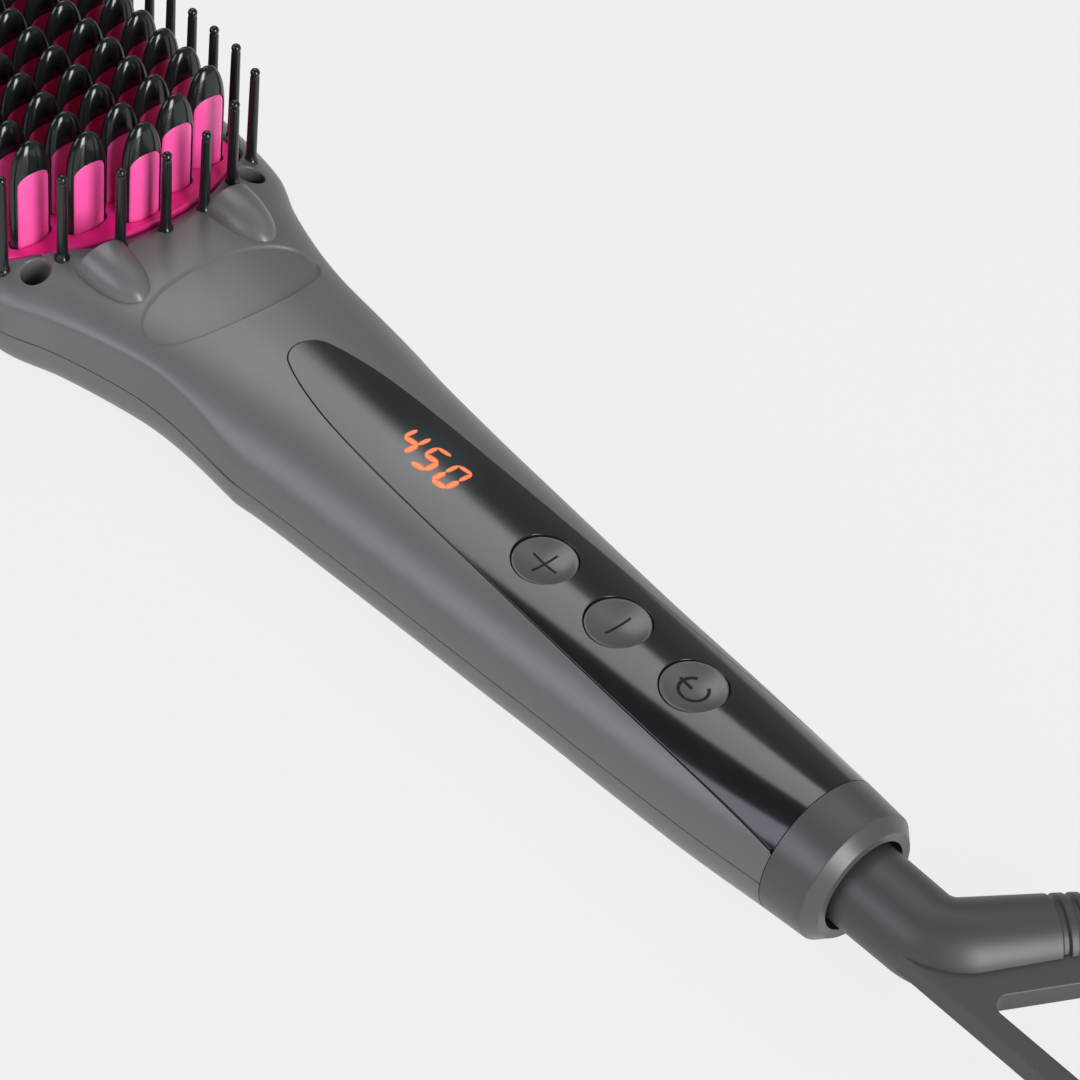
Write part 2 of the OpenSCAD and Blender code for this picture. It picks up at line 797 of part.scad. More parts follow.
// A button: dished face, flange that stops it below the panel, stem onto the switch
dish_r = 16;
dish_depth = 0.75;
flange_w = 0.85;
flange_t = 0.6;
stem_r = 1.8;
switch_h = 2.6;
plunger_h = 0.9;
plunger_r = 1.6;
stem_bottom_z = board_top_z + switch_h + plunger_h + 0.02;
module button(k) {
    flange_top = crown_at(button_r + flange_w, button_y[k], panel_t) - gap;
    color(black)
        translate([0, button_y[k], 0])
            difference() {
                rotate_extrude($fn = 60)
                    polygon([
                        [0, stem_bottom_z], [stem_r, stem_bottom_z], [stem_r, flange_top - flange_t],
                        [button_r + flange_w, flange_top - flange_t], [button_r + flange_w, flange_top],
                        [button_r, flange_top], [button_r, button_top[k]], [0, button_top[k]]
                    ]);
                translate([0, 0, button_top[k] - dish_depth + dish_r]) sphere(r = dish_r, $fn = 120);
            }
}
module button_plus() {
    button(0);
}
module button_minus() {
    button(1);
}
module button_power() {
    button(2);
}
module plunger(k) {
    color([0.9, 0.9, 0.88])
        translate([0, button_y[k], board_top_z + switch_h]) cylinder(h = plunger_h, r = plunger_r);
}
module plunger_plus() {
    plunger(0);
}
module plunger_minus() {
    plunger(1);
}
module plunger_power() {
    plunger(2);
}
module tact_switches() {
    color([0.2, 0.2, 0.22])
        for (y = button_y)
            difference() {
                translate([-3, y - 3, board_top_z + 0.02]) cube([6, 6, switch_h - 0.02]);
                translate([0, y, board_top_z + switch_h - button_travel - 0.5])
                    cylinder(h = 3, r = plunger_r + 0.1);
            }
}
display_y = -110.35;
module led_display() {
    color([0.12, 0.02, 0.02])
        translate([-4.8, display_y - 9, board_top_z + 0.02]) cube([9.6, 18, 4.4]);
}
control_board_y = [-104, -177];
module control_board() {
    color([0.05, 0.35, 0.15])
        translate([-8, control_board_y[1], board_top_z - board_t])
            cube([16, control_board_y[0] - control_board_y[1], board_t]);
}
module microcontroller() {
    color([0.08, 0.08, 0.08])
        translate([-4.5, -134, board_top_z - board_t - 0.02 - 1.6]) cube([9, 9, 1.6]);
}

power_board_y = [-118, -172];
module power_board() {
    color([0.1, 0.3, 0.12])
        translate([-8, power_board_y[1], power_board_z - board_t])
            cube([16, power_board_y[0] - power_board_y[1], board_t]);
}
module capacitor() {
    color([0.85, 0.7, 0.1])
        translate([-6, -152, power_board_z + 0.02]) cube([12, 16, 4.8]);
}
module triac() {
    color([0.1, 0.1, 0.1])
        translate([-5, -170, power_board_z + 0.02]) cube([10, 15, 4.4]);
}
// One lead starts at each brush, then both run along the handle's sides to the power board
supply_lead_start = [[2.1, -191.2, 5.2], [2.1, -195.2, 5.2]];
supply_lead_route = [[4.8, -188.5, 6.2], [5.6, -181, 6.4], [5, -172.05, 6.9]];
supply_lead_r = 0.5;
module supply_leads() {
    color([0.85, 0.1, 0.1]) {
        lead(concat([supply_lead_start[0]], supply_lead_route), supply_lead_r);
        mirror([1, 0, 0]) lead(concat([supply_lead_start[1]], supply_lead_route), supply_lead_r);
    }
}

module handle_screws() {
    color([0.5, 0.5, 0.5])
        for (p = handle_posts)
            translate([p[0], p[1], 0]) {
                translate([0, 0, screw_seat_z - 1.15]) cylinder(h = 1.1, r = handle_screw_head_r - 0.2);
                translate([0, 0, screw_seat_z - 0.1]) cylinder(h = 8, r = pilot_r - 0.05);
            }
}

// ---- Swivel end -------------------------------------------------------------------------

// The collar and the boot share one axis, tipped up a little from the handle
axis_tilt = 2.3;
axis_z = BODY[0][SEAM];
collar_l = 9.6;
chamfer_l = 2;
bearing_r = 5.6;
bearing_l = 3;
bearing_y = 5;
journal_r = bearing_r - 0.05;

// Places children in the swivel's own frame: +Z of the child runs out along the axis
module on_axis() {
    translate([0, handle_end_y, axis_z]) rotate([90 - axis_tilt, 0, 0]) children();
}

// Everything past the plane where the shells end and the collar starts
module beyond_shells() {
    on_axis() translate([-30, -30, 0]) cube([60, 60, 20]);
}

spigot_r = 9.6;
spigot_t = 1.3;
spigot_l = 2.5;
module end_collar() {
    color(shell_color)
        on_axis()
            rotate_extrude($fn = 90)
                polygon([
                    [bearing_r, bearing_y - bearing_l], [spigot_r - spigot_t, bearing_y - bearing_l],
                    [spigot_r - spigot_t, -spigot_l], [spigot_r, -spigot_l], [spigot_r, 0.05],
                    [collar_r, 0.05], [collar_r - 0.6, collar_l - chamfer_l], [9.4, collar_l],
                    [collar_hole_r, collar_l], [collar_hole_r, bearing_y], [bearing_r, bearing_y]
                ]);
}

hub_shell_r = 4.4;
hub_start = -11;
clip_y = 0.6;
ring_places = [-8.6, -4.6];
module contact_brushes() {
    color([0.8, 0.65, 0.3])
        on_axis()
            for (z = ring_places)
                translate([-1.5, -9.6, z + 0.4]) cube([3, 3.4, 1.4]);
}

// Boot: journal, tube, elbow and ribbed arm, all about the cord's bore
elbow_start = 20.2;
elbow_R = 7;
elbow_r = 6.82;
arm_l = 39;
arm_end_r = 4.4;
rib_start = 12.5;
rib_pitch = 2.45;
rib_n = 10;
groove_w = 1.1;
groove_depth = 0.55;

// Frame at the start of the arm, with +Z along the arm
module on_arm() {
    translate([elbow_R, 0, elbow_start])
        rotate([0, boot_turn, 0])
            translate([-elbow_R, 0, 0]) children();
}
function arm_r(z) = elbow_r + (arm_end_r - elbow_r) * z / arm_l;

loop_t = 3.8;
loop_corner_r = 3;
loop_hole_corner_r = 2;
loop_points = [[-6.5, 14], [-6.4, 60], [23.5, 57.8], [28.5, 40.8], [2, 16]];
loop_hole = [[-2.9, 35.15], [-2.9, 56], [19.3, 54.2], [21.3, 47.8]];

// Rounds the corners of a polygon with arcs of radius r
corner_n = 6;
function unit(v) = v / norm(v);
function rounded(p, r) = [
    for (i = [0:len(p) - 1])
        let (a = p[(i + len(p) - 1) % len(p)], b = p[i], c = p[(i + 1) % len(p)])
        let (u = unit(a - b), v = unit(c - b))
        let (half = acos(u * v) / 2, d = r / tan(half))
        let (centre = b + unit(u + v) * r / sin(half), s = b + u * d - centre, e = b + v * d - centre)
        for (k = [0:corner_n])
            centre + r * unit(s * (1 - k / corner_n) + e * k / corner_n)
];

// Straight part of the boot about the axis: hub, journal and tube, as one turned profile
module boot_tube() {
    rotate_extrude($fn = 60)
        polygon([
            [0, hub_start], [hub_shell_r, hub_start], [hub_shell_r, -1], [journal_r, -1],
            [journal_r, bearing_y + 0.3], [boot_r, bearing_y + 0.3], [elbow_r, elbow_start],
            [0, elbow_start]
        ]);
}

// Arm with a groove between its ribs, as one turned profile
module boot_arm() {
    grooves = [
        for (k = [0:rib_n - 1])
            let (z = rib_start + k * rib_pitch)
            each [
                [arm_r(z), z], [arm_r(z) - groove_depth, z],
                [arm_r(z) - groove_depth, z + groove_w], [arm_r(z + groove_w), z + groove_w]
            ]
    ];
    rotate_extrude($fn = 60)
        polygon(concat([[0, 0], [elbow_r, 0]], grooves, [[arm_end_r, arm_l], [0, arm_l]]));
}

// Elbow of radius r between the tube and the arm
module elbow(r) {
    translate([elbow_R, 0, elbow_start])
        rotate([-90, 0, 0])
            rotate([0, 0, 180])
                rotate_extrude(angle = boot_turn, $fn = 60) translate([elbow_R, 0]) circle(r = r);
}

module boot_outside() {
    boot_tube();
    elbow(elbow_r);
    on_arm() boot_arm();
}

// Way for the cord: two bores that meet where the axes of tube and arm cross
mitre = elbow_R * tan(boot_turn / 2);
mitre_r = cord_bore_r + 0.2;
cord_grip_r = 3.3;
cord_grip_l = 12;
module boot_bore() {
    translate([0, 0, hub_start - 1])
        cylinder(h = elbow_start + mitre - hub_start + 1, r = cord_bore_r, $fn = 60);
    translate([0, 0, elbow_start + mitre]) sphere(r = mitre_r, $fn = 60);
    on_arm() translate([0, 0, -mitre]) cylinder(h = arm_l + mitre, r = cord_bore_r, $fn = 60);
    on_arm() translate([0, 0, arm_l - cord_grip_l]) cylinder(h = cord_grip_l + 1, r = cord_grip_r, $fn = 60);
}

// Loop plate, drawn in the plane of the bend
module hanging_loop() {
    translate([0, loop_t / 2, 0])
        rotate([90, 0, 0])
            linear_extrude(loop_t)
                difference() {
                    polygon(rounded(loop_points, loop_corner_r));
                    polygon(rounded(loop_hole, loop_hole_corner_r));
                }
}

module swivel_boot() {
    color(shell_color)
        on_axis()
            difference() {
                union() {
                    boot_outside();
                    hanging_loop();
                }
                boot_bore();
            }
}

module slip_rings() {
    color([0.85, 0.6, 0.25])
        on_axis()
            for (z = ring_places)
                translate([0, 0, z])
                    difference() {
                        cylinder(h = 2.2, r = 5.9);
                        translate([0, 0, -1]) cylinder(h = 5, r = hub_shell_r + 0.05);
                    }
}

module swivel_clip() {
    color([0.6, 0.6, 0.6])
        on_axis()
            translate([0, 0, clip_y])
                difference() {
                    cylinder(h = 1.2, r = 7);
                    translate([0, 0, -1]) cylinder(h = 4, r = journal_r + gap / 2);
                }
}

front_shell();
rear_cover();
heat_plate();
heat_fins();
tooth_caps();
guard_pins();
heat_block();
plate_gasket();
inner_frame();
ceramic_heaters();
mica_sheet();
heater_clamp();
clamp_screws();
thermistor();
thermal_fuse();
heater_leads();
thermistor_leads();
ion_emitters();
ion_generator();
ion_leads();
head_screws();
handle_screws();
control_panel();
led_display();
button_plus();
button_minus();
button_power();
plunger_plus();
plunger_minus();
plunger_power();
tact_switches();
control_board();
microcontroller();
power_board();
capacitor();
triac();
supply_leads();
board_pillars();
end_collar();
contact_brushes();
swivel_boot();
slip_rings();
swivel_clip();
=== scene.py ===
"""Dresses the packed straightening brush and lights it in a plain studio.

Every shape is worked out in millimetres in the frame of the CAD model and turned into metres when its
mesh is made: X runs across the brush, Y along it to the tip of the head, Z up out of the teeth.
"""
import json
import math

import bpy
import numpy as np
from mathutils import Matrix


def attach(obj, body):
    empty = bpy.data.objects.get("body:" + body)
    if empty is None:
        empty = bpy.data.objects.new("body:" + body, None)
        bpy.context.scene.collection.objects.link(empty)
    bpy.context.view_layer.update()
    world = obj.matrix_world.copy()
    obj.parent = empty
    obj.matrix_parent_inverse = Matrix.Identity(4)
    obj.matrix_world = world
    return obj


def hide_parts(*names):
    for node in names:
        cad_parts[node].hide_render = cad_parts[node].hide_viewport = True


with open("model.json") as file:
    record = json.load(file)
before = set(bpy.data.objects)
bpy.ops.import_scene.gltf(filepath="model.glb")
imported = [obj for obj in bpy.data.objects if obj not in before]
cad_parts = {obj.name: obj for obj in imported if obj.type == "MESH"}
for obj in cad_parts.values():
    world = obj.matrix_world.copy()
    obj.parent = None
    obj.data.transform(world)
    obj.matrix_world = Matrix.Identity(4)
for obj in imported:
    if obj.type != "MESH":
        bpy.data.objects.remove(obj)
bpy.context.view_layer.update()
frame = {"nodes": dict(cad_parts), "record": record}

bl_info = {
    "name": "Straightening brush",
    "version": (1, 0, 0),
    "blender": (4, 5, 0),
    "location": "View3D > Sidebar > Brush",
    "description": "Builds the visible pieces of a heated straightening brush and their finishes",
    "category": "Object",
}

MM = 0.001

# Stations along the brush: place, half width of the crown, half width of the sides, top, seam,
# bottom, exponent of the crown, exponent of the back
STATIONS = np.array([
    [-198.7, 11.8, 14.65, 25.6, 13.8, 2.0, 2.00, 2.0],
    [-185.0, 13.2, 17.0, 24.6, 13.1, 1.2, 2.05, 2.1],
    [-170.0, 14.3, 19.0, 23.8, 12.6, 0.9, 2.10, 2.2],
    [-155.0, 15.2, 21.0, 23.3, 12.1, 0.5, 2.10, 2.2],
    [-140.0, 16.2, 22.5, 23.0, 11.6, 0.2, 2.15, 2.3],
    [-125.0, 17.2, 23.0, 22.8, 11.2, 0.0, 2.20, 2.4],
    [-110.0, 18.3, 22.7, 22.7, 10.8, -0.2, 2.20, 2.5],
    [-93.0, 19.8, 21.3, 22.7, 10.5, -0.3, 2.20, 2.6],
    [-85.0, 20.9, 20.6, 22.7, 10.5, -0.4, 2.20, 2.7],
    [-73.0, 22.3, 20.2, 22.7, 10.5, -0.4, 2.30, 2.8],
    [-64.0, 23.3, 20.8, 22.6, 10.5, -0.4, 2.35, 2.9],
    [-55.0, 24.8, 22.8, 22.5, 10.5, -0.4, 2.40, 3.0],
    [-45.0, 27.4, 26.0, 22.4, 10.5, -0.4, 2.50, 3.0],
    [-36.0, 31.0, 29.9, 22.4, 10.5, -0.4, 2.55, 3.0],
    [-22.0, 32.8, 31.6, 22.4, 10.5, -0.4, 2.55, 3.0],
    [0.0, 33.3, 32.0, 22.4, 10.5, -0.4, 2.55, 3.0],
])
CROWN, SIDE, TOP, SEAM, BOTTOM, CROWN_EXP, BACK_EXP = range(1, 8)
HANDLE_END_Y = -198.7
AXIS_Z = 13.8
AXIS_TILT = math.radians(2.3)
HEAD_HALF_L = 47.5
TIP_EXP = 3.6
TOP_TIP_REACH = 48.3
TOP_TIP_EXP = 8.0
SIDE_DRAFT = 0.12

PLATE_HALF_W = 25.5
PLATE_HALF_L = 38.4
PLATE_END_R = 40.3
PLATE_CORNER_R = 3.0
PLATE_Z = 21.2
PLATE_CROWN_R = 143.0
PLATE_FLOOR_Z = 18.3

WELLS = [(sx * 22.4, sy * 36.05) for sx in (-1, 1) for sy in (-1, 1)]
HANDLE_POSTS = [(-12.6, -102.0), (12.6, -102.0), (0.0, -181.0)]
OVAL_Y, OVAL_HALF_W, OVAL_HALF_L, OVAL_EXP = -59.85, 17.2, 7.4, 2.3
PANEL_TIP_Y = -77.2
# Distance from the panel's tip and the panel's half width there
PANEL_WIDTHS = np.array([
    [0.0, 0.0], [0.8, 2.59], [2.0, 3.79], [3.8, 4.55], [6.3, 5.35], [10.8, 6.4], [16.8, 7.3],
    [26.8, 8.05], [40.8, 8.6], [56.8, 9.05], [74.8, 9.5], [94.8, 9.95], [126.0, 10.3],
])
BUTTON_Y = (-137.65, -154.2, -170.75)
BUTTON_HOLE_R = 5.4
BUTTON_SINK = 0.55
DISPLAY_Y = -110.35
DIGIT_Y = (-105.5, -110.5, -115.5)

SLOT_HALF_W, SLOT_HALF_L = 4.05, 2.05
TOOTH_FOOT_Z = 18.2
NOSE_EXP = 2.15
WINDOW_SPRING_Z, WINDOW_RISE = 32.2, 2.6
HOOD_X = 13.0
WELL_R, WELL_ROUND = 2.45, 0.35
HANDLE_HOLE_R = 2.65


# ---- Meshes -------------------------------------------------------------------------------------


class Shape:
    """Collects patches of faces, each corner with its own normal, and makes one closed mesh of them."""

    def __init__(self):
        self.points, self.normals, self.uvs = [], [], []
        self.faces = {}
        self.count = 0

    def add(self, points, normals, faces, uv=None):
        """Adds points with normals, and faces as a table of point numbers for each number of sides."""
        points = points.reshape(-1, 3)
        self.points.append(points)
        self.normals.append(normals.reshape(-1, 3))
        self.uvs.append(np.zeros((len(points), 2)) if uv is None else uv.reshape(-1, 2))
        for sides, table in faces.items():
            self.faces.setdefault(sides, []).append(table + self.count)
        self.count += len(points)

    def grid(self, points, closed=False, outward=(0, 0, 1), first=None, last=None, uv=None):
        """Adds a grid of points. The normal is the cross product of the steps across and along the grid,
        turned to the side that outward points to; first and last give the normals of the end rows."""
        normals = grid_normals(points, closed)
        turned = np.sum(normals * np.asarray(outward, float)) < 0
        if turned:
            normals = -normals
        if first is not None:
            normals[0] = first
        if last is not None:
            normals[-1] = last
        table = grid_faces(points.shape[0], points.shape[1], closed)
        self.add(points, normals, {4: table[:, ::-1] if turned else table}, uv)

    def copies(self, other, places):
        """Adds another shape once at every place."""
        points, normals, uvs = (np.concatenate(x) for x in (other.points, other.normals, other.uvs))
        faces = {sides: np.concatenate(tables) for sides, tables in other.faces.items()}
        for place in places:
            self.add(points + np.asarray(place, float), normals, faces, uvs)

    def mesh(self, name):
        """Joins points that lie on each other, drops the sides this leaves without length, and fills the
        mesh from whole arrays, with the corner normals kept."""
        points, normals, uvs = (np.concatenate(x) for x in (self.points, self.normals, self.uvs))
        _, first, joined = np.unique(np.round(points, 4), axis=0, return_index=True, return_inverse=True)
        joined = joined.reshape(-1)
        vertex, corner, sizes = [], [], []
        for sides in sorted(self.faces):
            table = np.concatenate(self.faces[sides])
            index = joined[table]
            keep = index != np.roll(index, -1, axis=1)
            different = np.count_nonzero(np.diff(np.sort(index, axis=1), axis=1), axis=1) + 1
            for count in range(3, sides + 1):
                rows = (keep.sum(1) == count) & (different == count)
                vertex.append(index[rows][keep[rows]])
                corner.append(table[rows][keep[rows]])
                sizes.append(np.full(rows.sum(), count))
        vertex, corner, sizes = (np.concatenate(x) for x in (vertex, corner, sizes))
        mesh = bpy.data.meshes.new(name)
        mesh.vertices.add(len(first))
        mesh.vertices.foreach_set("co", (points[first] * MM).astype(np.float32).ravel())
        mesh.loops.add(len(vertex))
        mesh.loops.foreach_set("vertex_index", vertex.astype(np.int32))
        mesh.polygons.add(len(sizes))
        mesh.polygons.foreach_set("loop_start", (np.cumsum(sizes) - sizes).astype(np.int32))
        mesh.polygons.foreach_set("use_smooth", np.ones(len(sizes), bool))
        mesh.update(calc_edges=True)
        layer = mesh.uv_layers.new(name="UVMap")
        layer.data.foreach_set("uv", uvs[corner].astype(np.float32).ravel())
        mesh.normals_split_custom_set(normals[corner].tolist())
        return mesh


def grid_faces(rows, columns, closed):
    """Quads between neighbouring rows and columns; a closed grid joins its last column to its first."""
    row, column = np.mgrid[0:rows - 1, 0:columns if closed else columns - 1]
    after = (column + 1) % columns
    quads = [row * columns + column, row * columns + after, (row + 1) * columns + after,
             (row + 1) * columns + column]
    return np.stack(quads, -1).reshape(-1, 4)


def grid_normals(points, closed):
    """Unit cross product of the steps across and along a grid of points."""
    wide = np.concatenate([points[:, -1:], points, points[:, :1]], 1) if closed else points
    across = np.gradient(wide, axis=1)
    if closed:
        across = across[:, 1:-1]
    return unit(np.cross(across, np.gradient(points, axis=0)))


def unit(vectors):
    """The vectors at length one; a vector without length stays as it is."""
    length = np.linalg.norm(vectors, axis=-1, keepdims=True)
    return vectors / np.where(length > 1e-12, length, 1.0)


def sheet_normals(sheet, u, v, step):
    """Unit cross product of the central differences of a surface along its two parameters."""
    across = sheet(u + step, v) - sheet(u - step, v)
    along_v = sheet(u, v + step) - sheet(u, v - step)
    return unit(np.cross(across, along_v))


def clipped(shape, sheet, u, v, keep, step=1e-3, outward=(0, 0, 1)):
    """Adds the part of a surface where keep is above zero. Quads that its edge crosses are cut along the
    edge, as in marching squares, and the edge's points are found on the grid's lines by halving."""
    u, v = np.meshgrid(u, v)
    rows, columns = u.shape
    inside = keep(sheet(u, v)) > 0
    number = np.arange(rows * columns).reshape(rows, columns)

    def crossings(a, b):
        """Points where the edge crosses the grid's lines from a to b, and their numbers."""
        low, high = (np.stack([u.ravel()[x], v.ravel()[x]], -1) for x in (a, b))
        start = inside.ravel()[a][:, None]
        for _ in range(14):
            middle = (low + high) / 2
            same = (keep(sheet(middle[:, 0], middle[:, 1])) > 0)[:, None] == start
            low, high = np.where(same, middle, low), np.where(same, high, middle)
        return (low + high) / 2

    flat_h = np.argwhere(inside[:, :-1] != inside[:, 1:])
    flat_v = np.argwhere(inside[:-1] != inside[1:])
    cross_h = crossings(number[flat_h[:, 0], flat_h[:, 1]], number[flat_h[:, 0], flat_h[:, 1] + 1])
    cross_v = crossings(number[flat_v[:, 0], flat_v[:, 1]], number[flat_v[:, 0] + 1, flat_v[:, 1]])
    edge_h = np.full((rows, columns), -1)
    edge_h[flat_h[:, 0], flat_h[:, 1]] = rows * columns + np.arange(len(flat_h))
    edge_v = np.full((rows, columns), -1)
    edge_v[flat_v[:, 0], flat_v[:, 1]] = rows * columns + len(flat_h) + np.arange(len(flat_v))
    uu = np.concatenate([u.ravel(), cross_h[:, 0], cross_v[:, 0]])
    vv = np.concatenate([v.ravel(), cross_h[:, 1], cross_v[:, 1]])
    points = sheet(uu, vv)
    normals = sheet_normals(sheet, uu, vv, step)
    turned = np.sum(normals[inside.ravel().nonzero()[0]] * np.asarray(outward, float)) < 0
    corners = np.stack([number[:-1, :-1], number[:-1, 1:], number[1:, 1:], number[1:, :-1]], -1)
    edges = np.stack([edge_h[:-1, :-1], edge_v[:-1, 1:], edge_h[1:, :-1], edge_v[:-1, :-1]], -1)
    kept = inside.ravel()[corners]
    case = kept @ np.array([1, 2, 4, 8])
    faces = {}
    for code in range(1, 16):
        here = case == code
        if not here.any():
            continue
        bits = [bool(code >> k & 1) for k in range(4)]
        walk = []
        for k in range(4):
            if bits[k]:
                walk.append(corners[here][:, k])
            if bits[k] != bits[(k + 1) % 4]:
                walk.append(edges[here][:, k])
        table = np.stack(walk, -1)
        faces.setdefault(len(walk), []).append(table[:, ::-1] if turned else table)
    used = np.unique(np.concatenate([t.ravel() for tables in faces.values() for t in tables]))
    renumber = np.zeros(len(points), int)
    renumber[used] = np.arange(len(used))
    shape.add(points[used], (-normals if turned else normals)[used],
              {sides: renumber[np.concatenate(tables)] for sides, tables in faces.items()})


def make_piece(name, shape, body, slot, replaced=(), look=None):
    """Makes the object of a piece, lets it ride on its body and gives it the finish of its slot, or a
    look of its own."""
    piece = bpy.data.objects.new(name, shape.mesh(name))
    bpy.context.scene.collection.objects.link(piece)
    piece.data.materials.append(finish(look or slot))
    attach(piece, body)
    if replaced:
        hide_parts(*replaced)
    return piece


# ---- Curves and outlines ------------------------------------------------------------------------


def hermite(places, values, at, last_slope=None):
    """Cubic Hermite curve through the values, with the slope of the chord between both neighbours."""
    slope = np.empty_like(values)
    slope[1:-1] = (values[2:] - values[:-2]) / (places[2:] - places[:-2])
    slope[0] = (values[1] - values[0]) / (places[1] - places[0])
    slope[-1] = (values[-1] - values[-2]) / (places[-1] - places[-2]) if last_slope is None else last_slope
    i = np.clip(np.searchsorted(places, at, side="right") - 1, 0, len(places) - 2)
    h = places[i + 1] - places[i]
    t = (at - places[i]) / h
    a, b, d = 2 * t**3 - 3 * t**2 + 1, t**3 - 2 * t**2 + t, t**3 - t**2
    return a * values[i] + b * h * slope[i] + (1 - a) * values[i + 1] + d * h * slope[i + 1]


def along(y, column):
    """One column of the stations at every y; past the middle of the head it stays as it is there."""
    return hermite(STATIONS[:, 0], STATIONS[:, column], np.minimum(y, 0.0), 0.0)


def tip_share(y, reach, power, root):
    """Share left towards the tip: (1 - (y / reach) ^ power) ^ (1 / root), and 1 before the middle."""
    t = np.clip(y, 0.0, reach) / reach
    return (1 - t**power) ** (1 / root)


def tip_w(y):
    """Share of the width that is left towards the tip of the head."""
    return tip_share(y, HEAD_HALF_L, TIP_EXP, TIP_EXP)


def tip_h(y):
    """Share of the height that is left towards the tip of the head."""
    return tip_share(y, TOP_TIP_REACH, TOP_TIP_EXP, STATIONS[-1, CROWN_EXP])


def crown_z(x, y):
    """Height of the crown: the seam, plus a superellipse across the section."""
    seam, e = along(y, SEAM), along(y, CROWN_EXP)
    half = np.maximum(along(y, CROWN) * tip_w(y), 1e-6)
    rise = (along(y, TOP) - seam) * tip_h(y)
    return seam + rise * np.clip(1 - (np.abs(x) / half) ** e, 0, None) ** (1 / e)


def crown_normals(points):
    """Unit normals of the crown above the points: minus its slopes across and along, and one."""
    x, y, step = points[..., 0], points[..., 1], 0.01
    dx = (crown_z(x + step, y) - crown_z(x - step, y)) / (2 * step)
    dy = (crown_z(x, y + step) - crown_z(x, y - step)) / (2 * step)
    return unit(np.stack([-dx, -dy, np.ones_like(dx)], -1))


def plate_top(x):
    """Height of the heat plate: a cylinder along Y."""
    return PLATE_Z - PLATE_CROWN_R + np.sqrt(PLATE_CROWN_R**2 - x**2)


def soft_min(a, b, width):
    """The smaller of two values, rounded where they meet over the width."""
    low = np.minimum(a, b)
    return low - width * np.log1p(np.exp(-np.abs(a - b) / width))


def collar_shear(y, z):
    """Moves points near the handle's end onto the tilted plane where the collar starts."""
    share = np.clip((HANDLE_END_Y + 14 - y) / 14, 0, 1)
    return y + share * math.tan(AXIS_TILT) * (z - AXIS_Z)


def squircle(a, b, e, n):
    """Outline of a superellipse: each axis is its half length times a power 2/e of cosine or sine."""
    t = np.arange(n) * 2 * np.pi / n
    c, s = np.cos(t), np.sin(t)
    return np.stack([a * np.sign(c) * np.abs(c) ** (2 / e), b * np.sign(s) * np.abs(s) ** (2 / e)], -1)


def circle(x, y, r, n=64):
    """Outline of a circle about a point."""
    return squircle(r, r, 2, n) + np.array([x, y])


def even(outline, n, closed=True):
    """The same outline with n points at even distances along it."""
    path = np.concatenate([outline, outline[:1]]) if closed else outline
    length = np.concatenate([[0], np.cumsum(np.linalg.norm(np.diff(path, axis=0), axis=1))])
    at = np.linspace(0, length[-1], n + 1 if closed else n)[:n]
    return np.stack([np.interp(at, length, path[:, k]) for k in range(path.shape[1])], -1)


def outline_normals(outline, closed=True):
    """Unit normals in the plane that point out of an outline that runs anticlockwise."""
    path = np.concatenate([outline[-1:], outline, outline[:1]]) if closed else outline
    step = np.gradient(path, axis=0)
    step = step[1:-1] if closed else step
    return unit(np.stack([step[:, 1], -step[:, 0]], -1))


def outside(points, outline):
    """Distance of points from a closed outline in the plane, above zero outside it: the distance to its
    nearest side, with its sign from the number of sides that a line to the right crosses."""
    result = np.full(points.shape[:-1], 99.0)
    low, high = outline.min(0) - 3, outline.max(0) + 3
    near = np.all((points[..., :2] > low) & (points[..., :2] < high), -1)
    p = points[near][:, None, :2]
    a = outline[None]
    b = np.roll(outline, -1, axis=0)[None]
    t = np.clip(np.sum((p - a) * (b - a), -1) / np.sum((b - a) ** 2, -1), 0, 1)
    distance = np.linalg.norm(p - a - t[..., None] * (b - a), axis=-1).min(1)
    spans = (a[..., 1] > p[..., 1]) != (b[..., 1] > p[..., 1])
    rise = np.where(b[..., 1] == a[..., 1], 1.0, b[..., 1] - a[..., 1])
    meets = a[..., 0] + (p[..., 1] - a[..., 1]) * (b[..., 0] - a[..., 0]) / rise > p[..., 0]
    result[near] = np.where(np.sum(spans & meets, 1) % 2 == 1, -distance, distance)
    return result


def plate_outline(n=420):
    """Straight sides, ends that are arcs about a point just past the middle, and rounded corners."""
    centre = PLATE_HALF_L - PLATE_END_R
    corner_x = PLATE_HALF_W - PLATE_CORNER_R
    turn = math.acos(corner_x / (PLATE_END_R - PLATE_CORNER_R))
    corner_y = centre + (PLATE_END_R - PLATE_CORNER_R) * math.sin(turn)
    a = np.linspace(0, turn, 12)
    b = np.linspace(turn, math.pi / 2, 60)[1:]
    corner = np.stack([corner_x + PLATE_CORNER_R * np.cos(a), corner_y + PLATE_CORNER_R * np.sin(a)], -1)
    end = np.stack([PLATE_END_R * np.cos(b), centre + PLATE_END_R * np.sin(b)], -1)
    quarter = np.concatenate([corner, end])
    half = np.concatenate([quarter, quarter[-2::-1] * [-1, 1]])
    return even(np.concatenate([half, -half]), n)


def panel_half_width(y):
    """Half width of the panel: a curve through its widths over the root of the distance from its tip."""
    root = np.sqrt(np.maximum(PANEL_TIP_Y - y, 0.0))
    return hermite(np.sqrt(PANEL_WIDTHS[:, 0]), PANEL_WIDTHS[:, 1], root)


def panel_outline():
    """Right edge up to the tip and left edge down again, past the handle's end."""
    root = np.linspace(np.sqrt(126.0), 0, 420)
    right = np.stack([panel_half_width(PANEL_TIP_Y - root**2), PANEL_TIP_Y - root**2], -1)
    outline = np.concatenate([right, right[-2::-1] * [-1, 1]])
    return even(outline, 640, closed=False)


def tooth_places():
    """Five columns of teeth, each a row shorter than the one inside it."""
    return [(9.0 * c, 6.3 * (r - (11 - abs(c)) / 2)) for c in range(-2, 3) for r in range(12 - abs(c))]


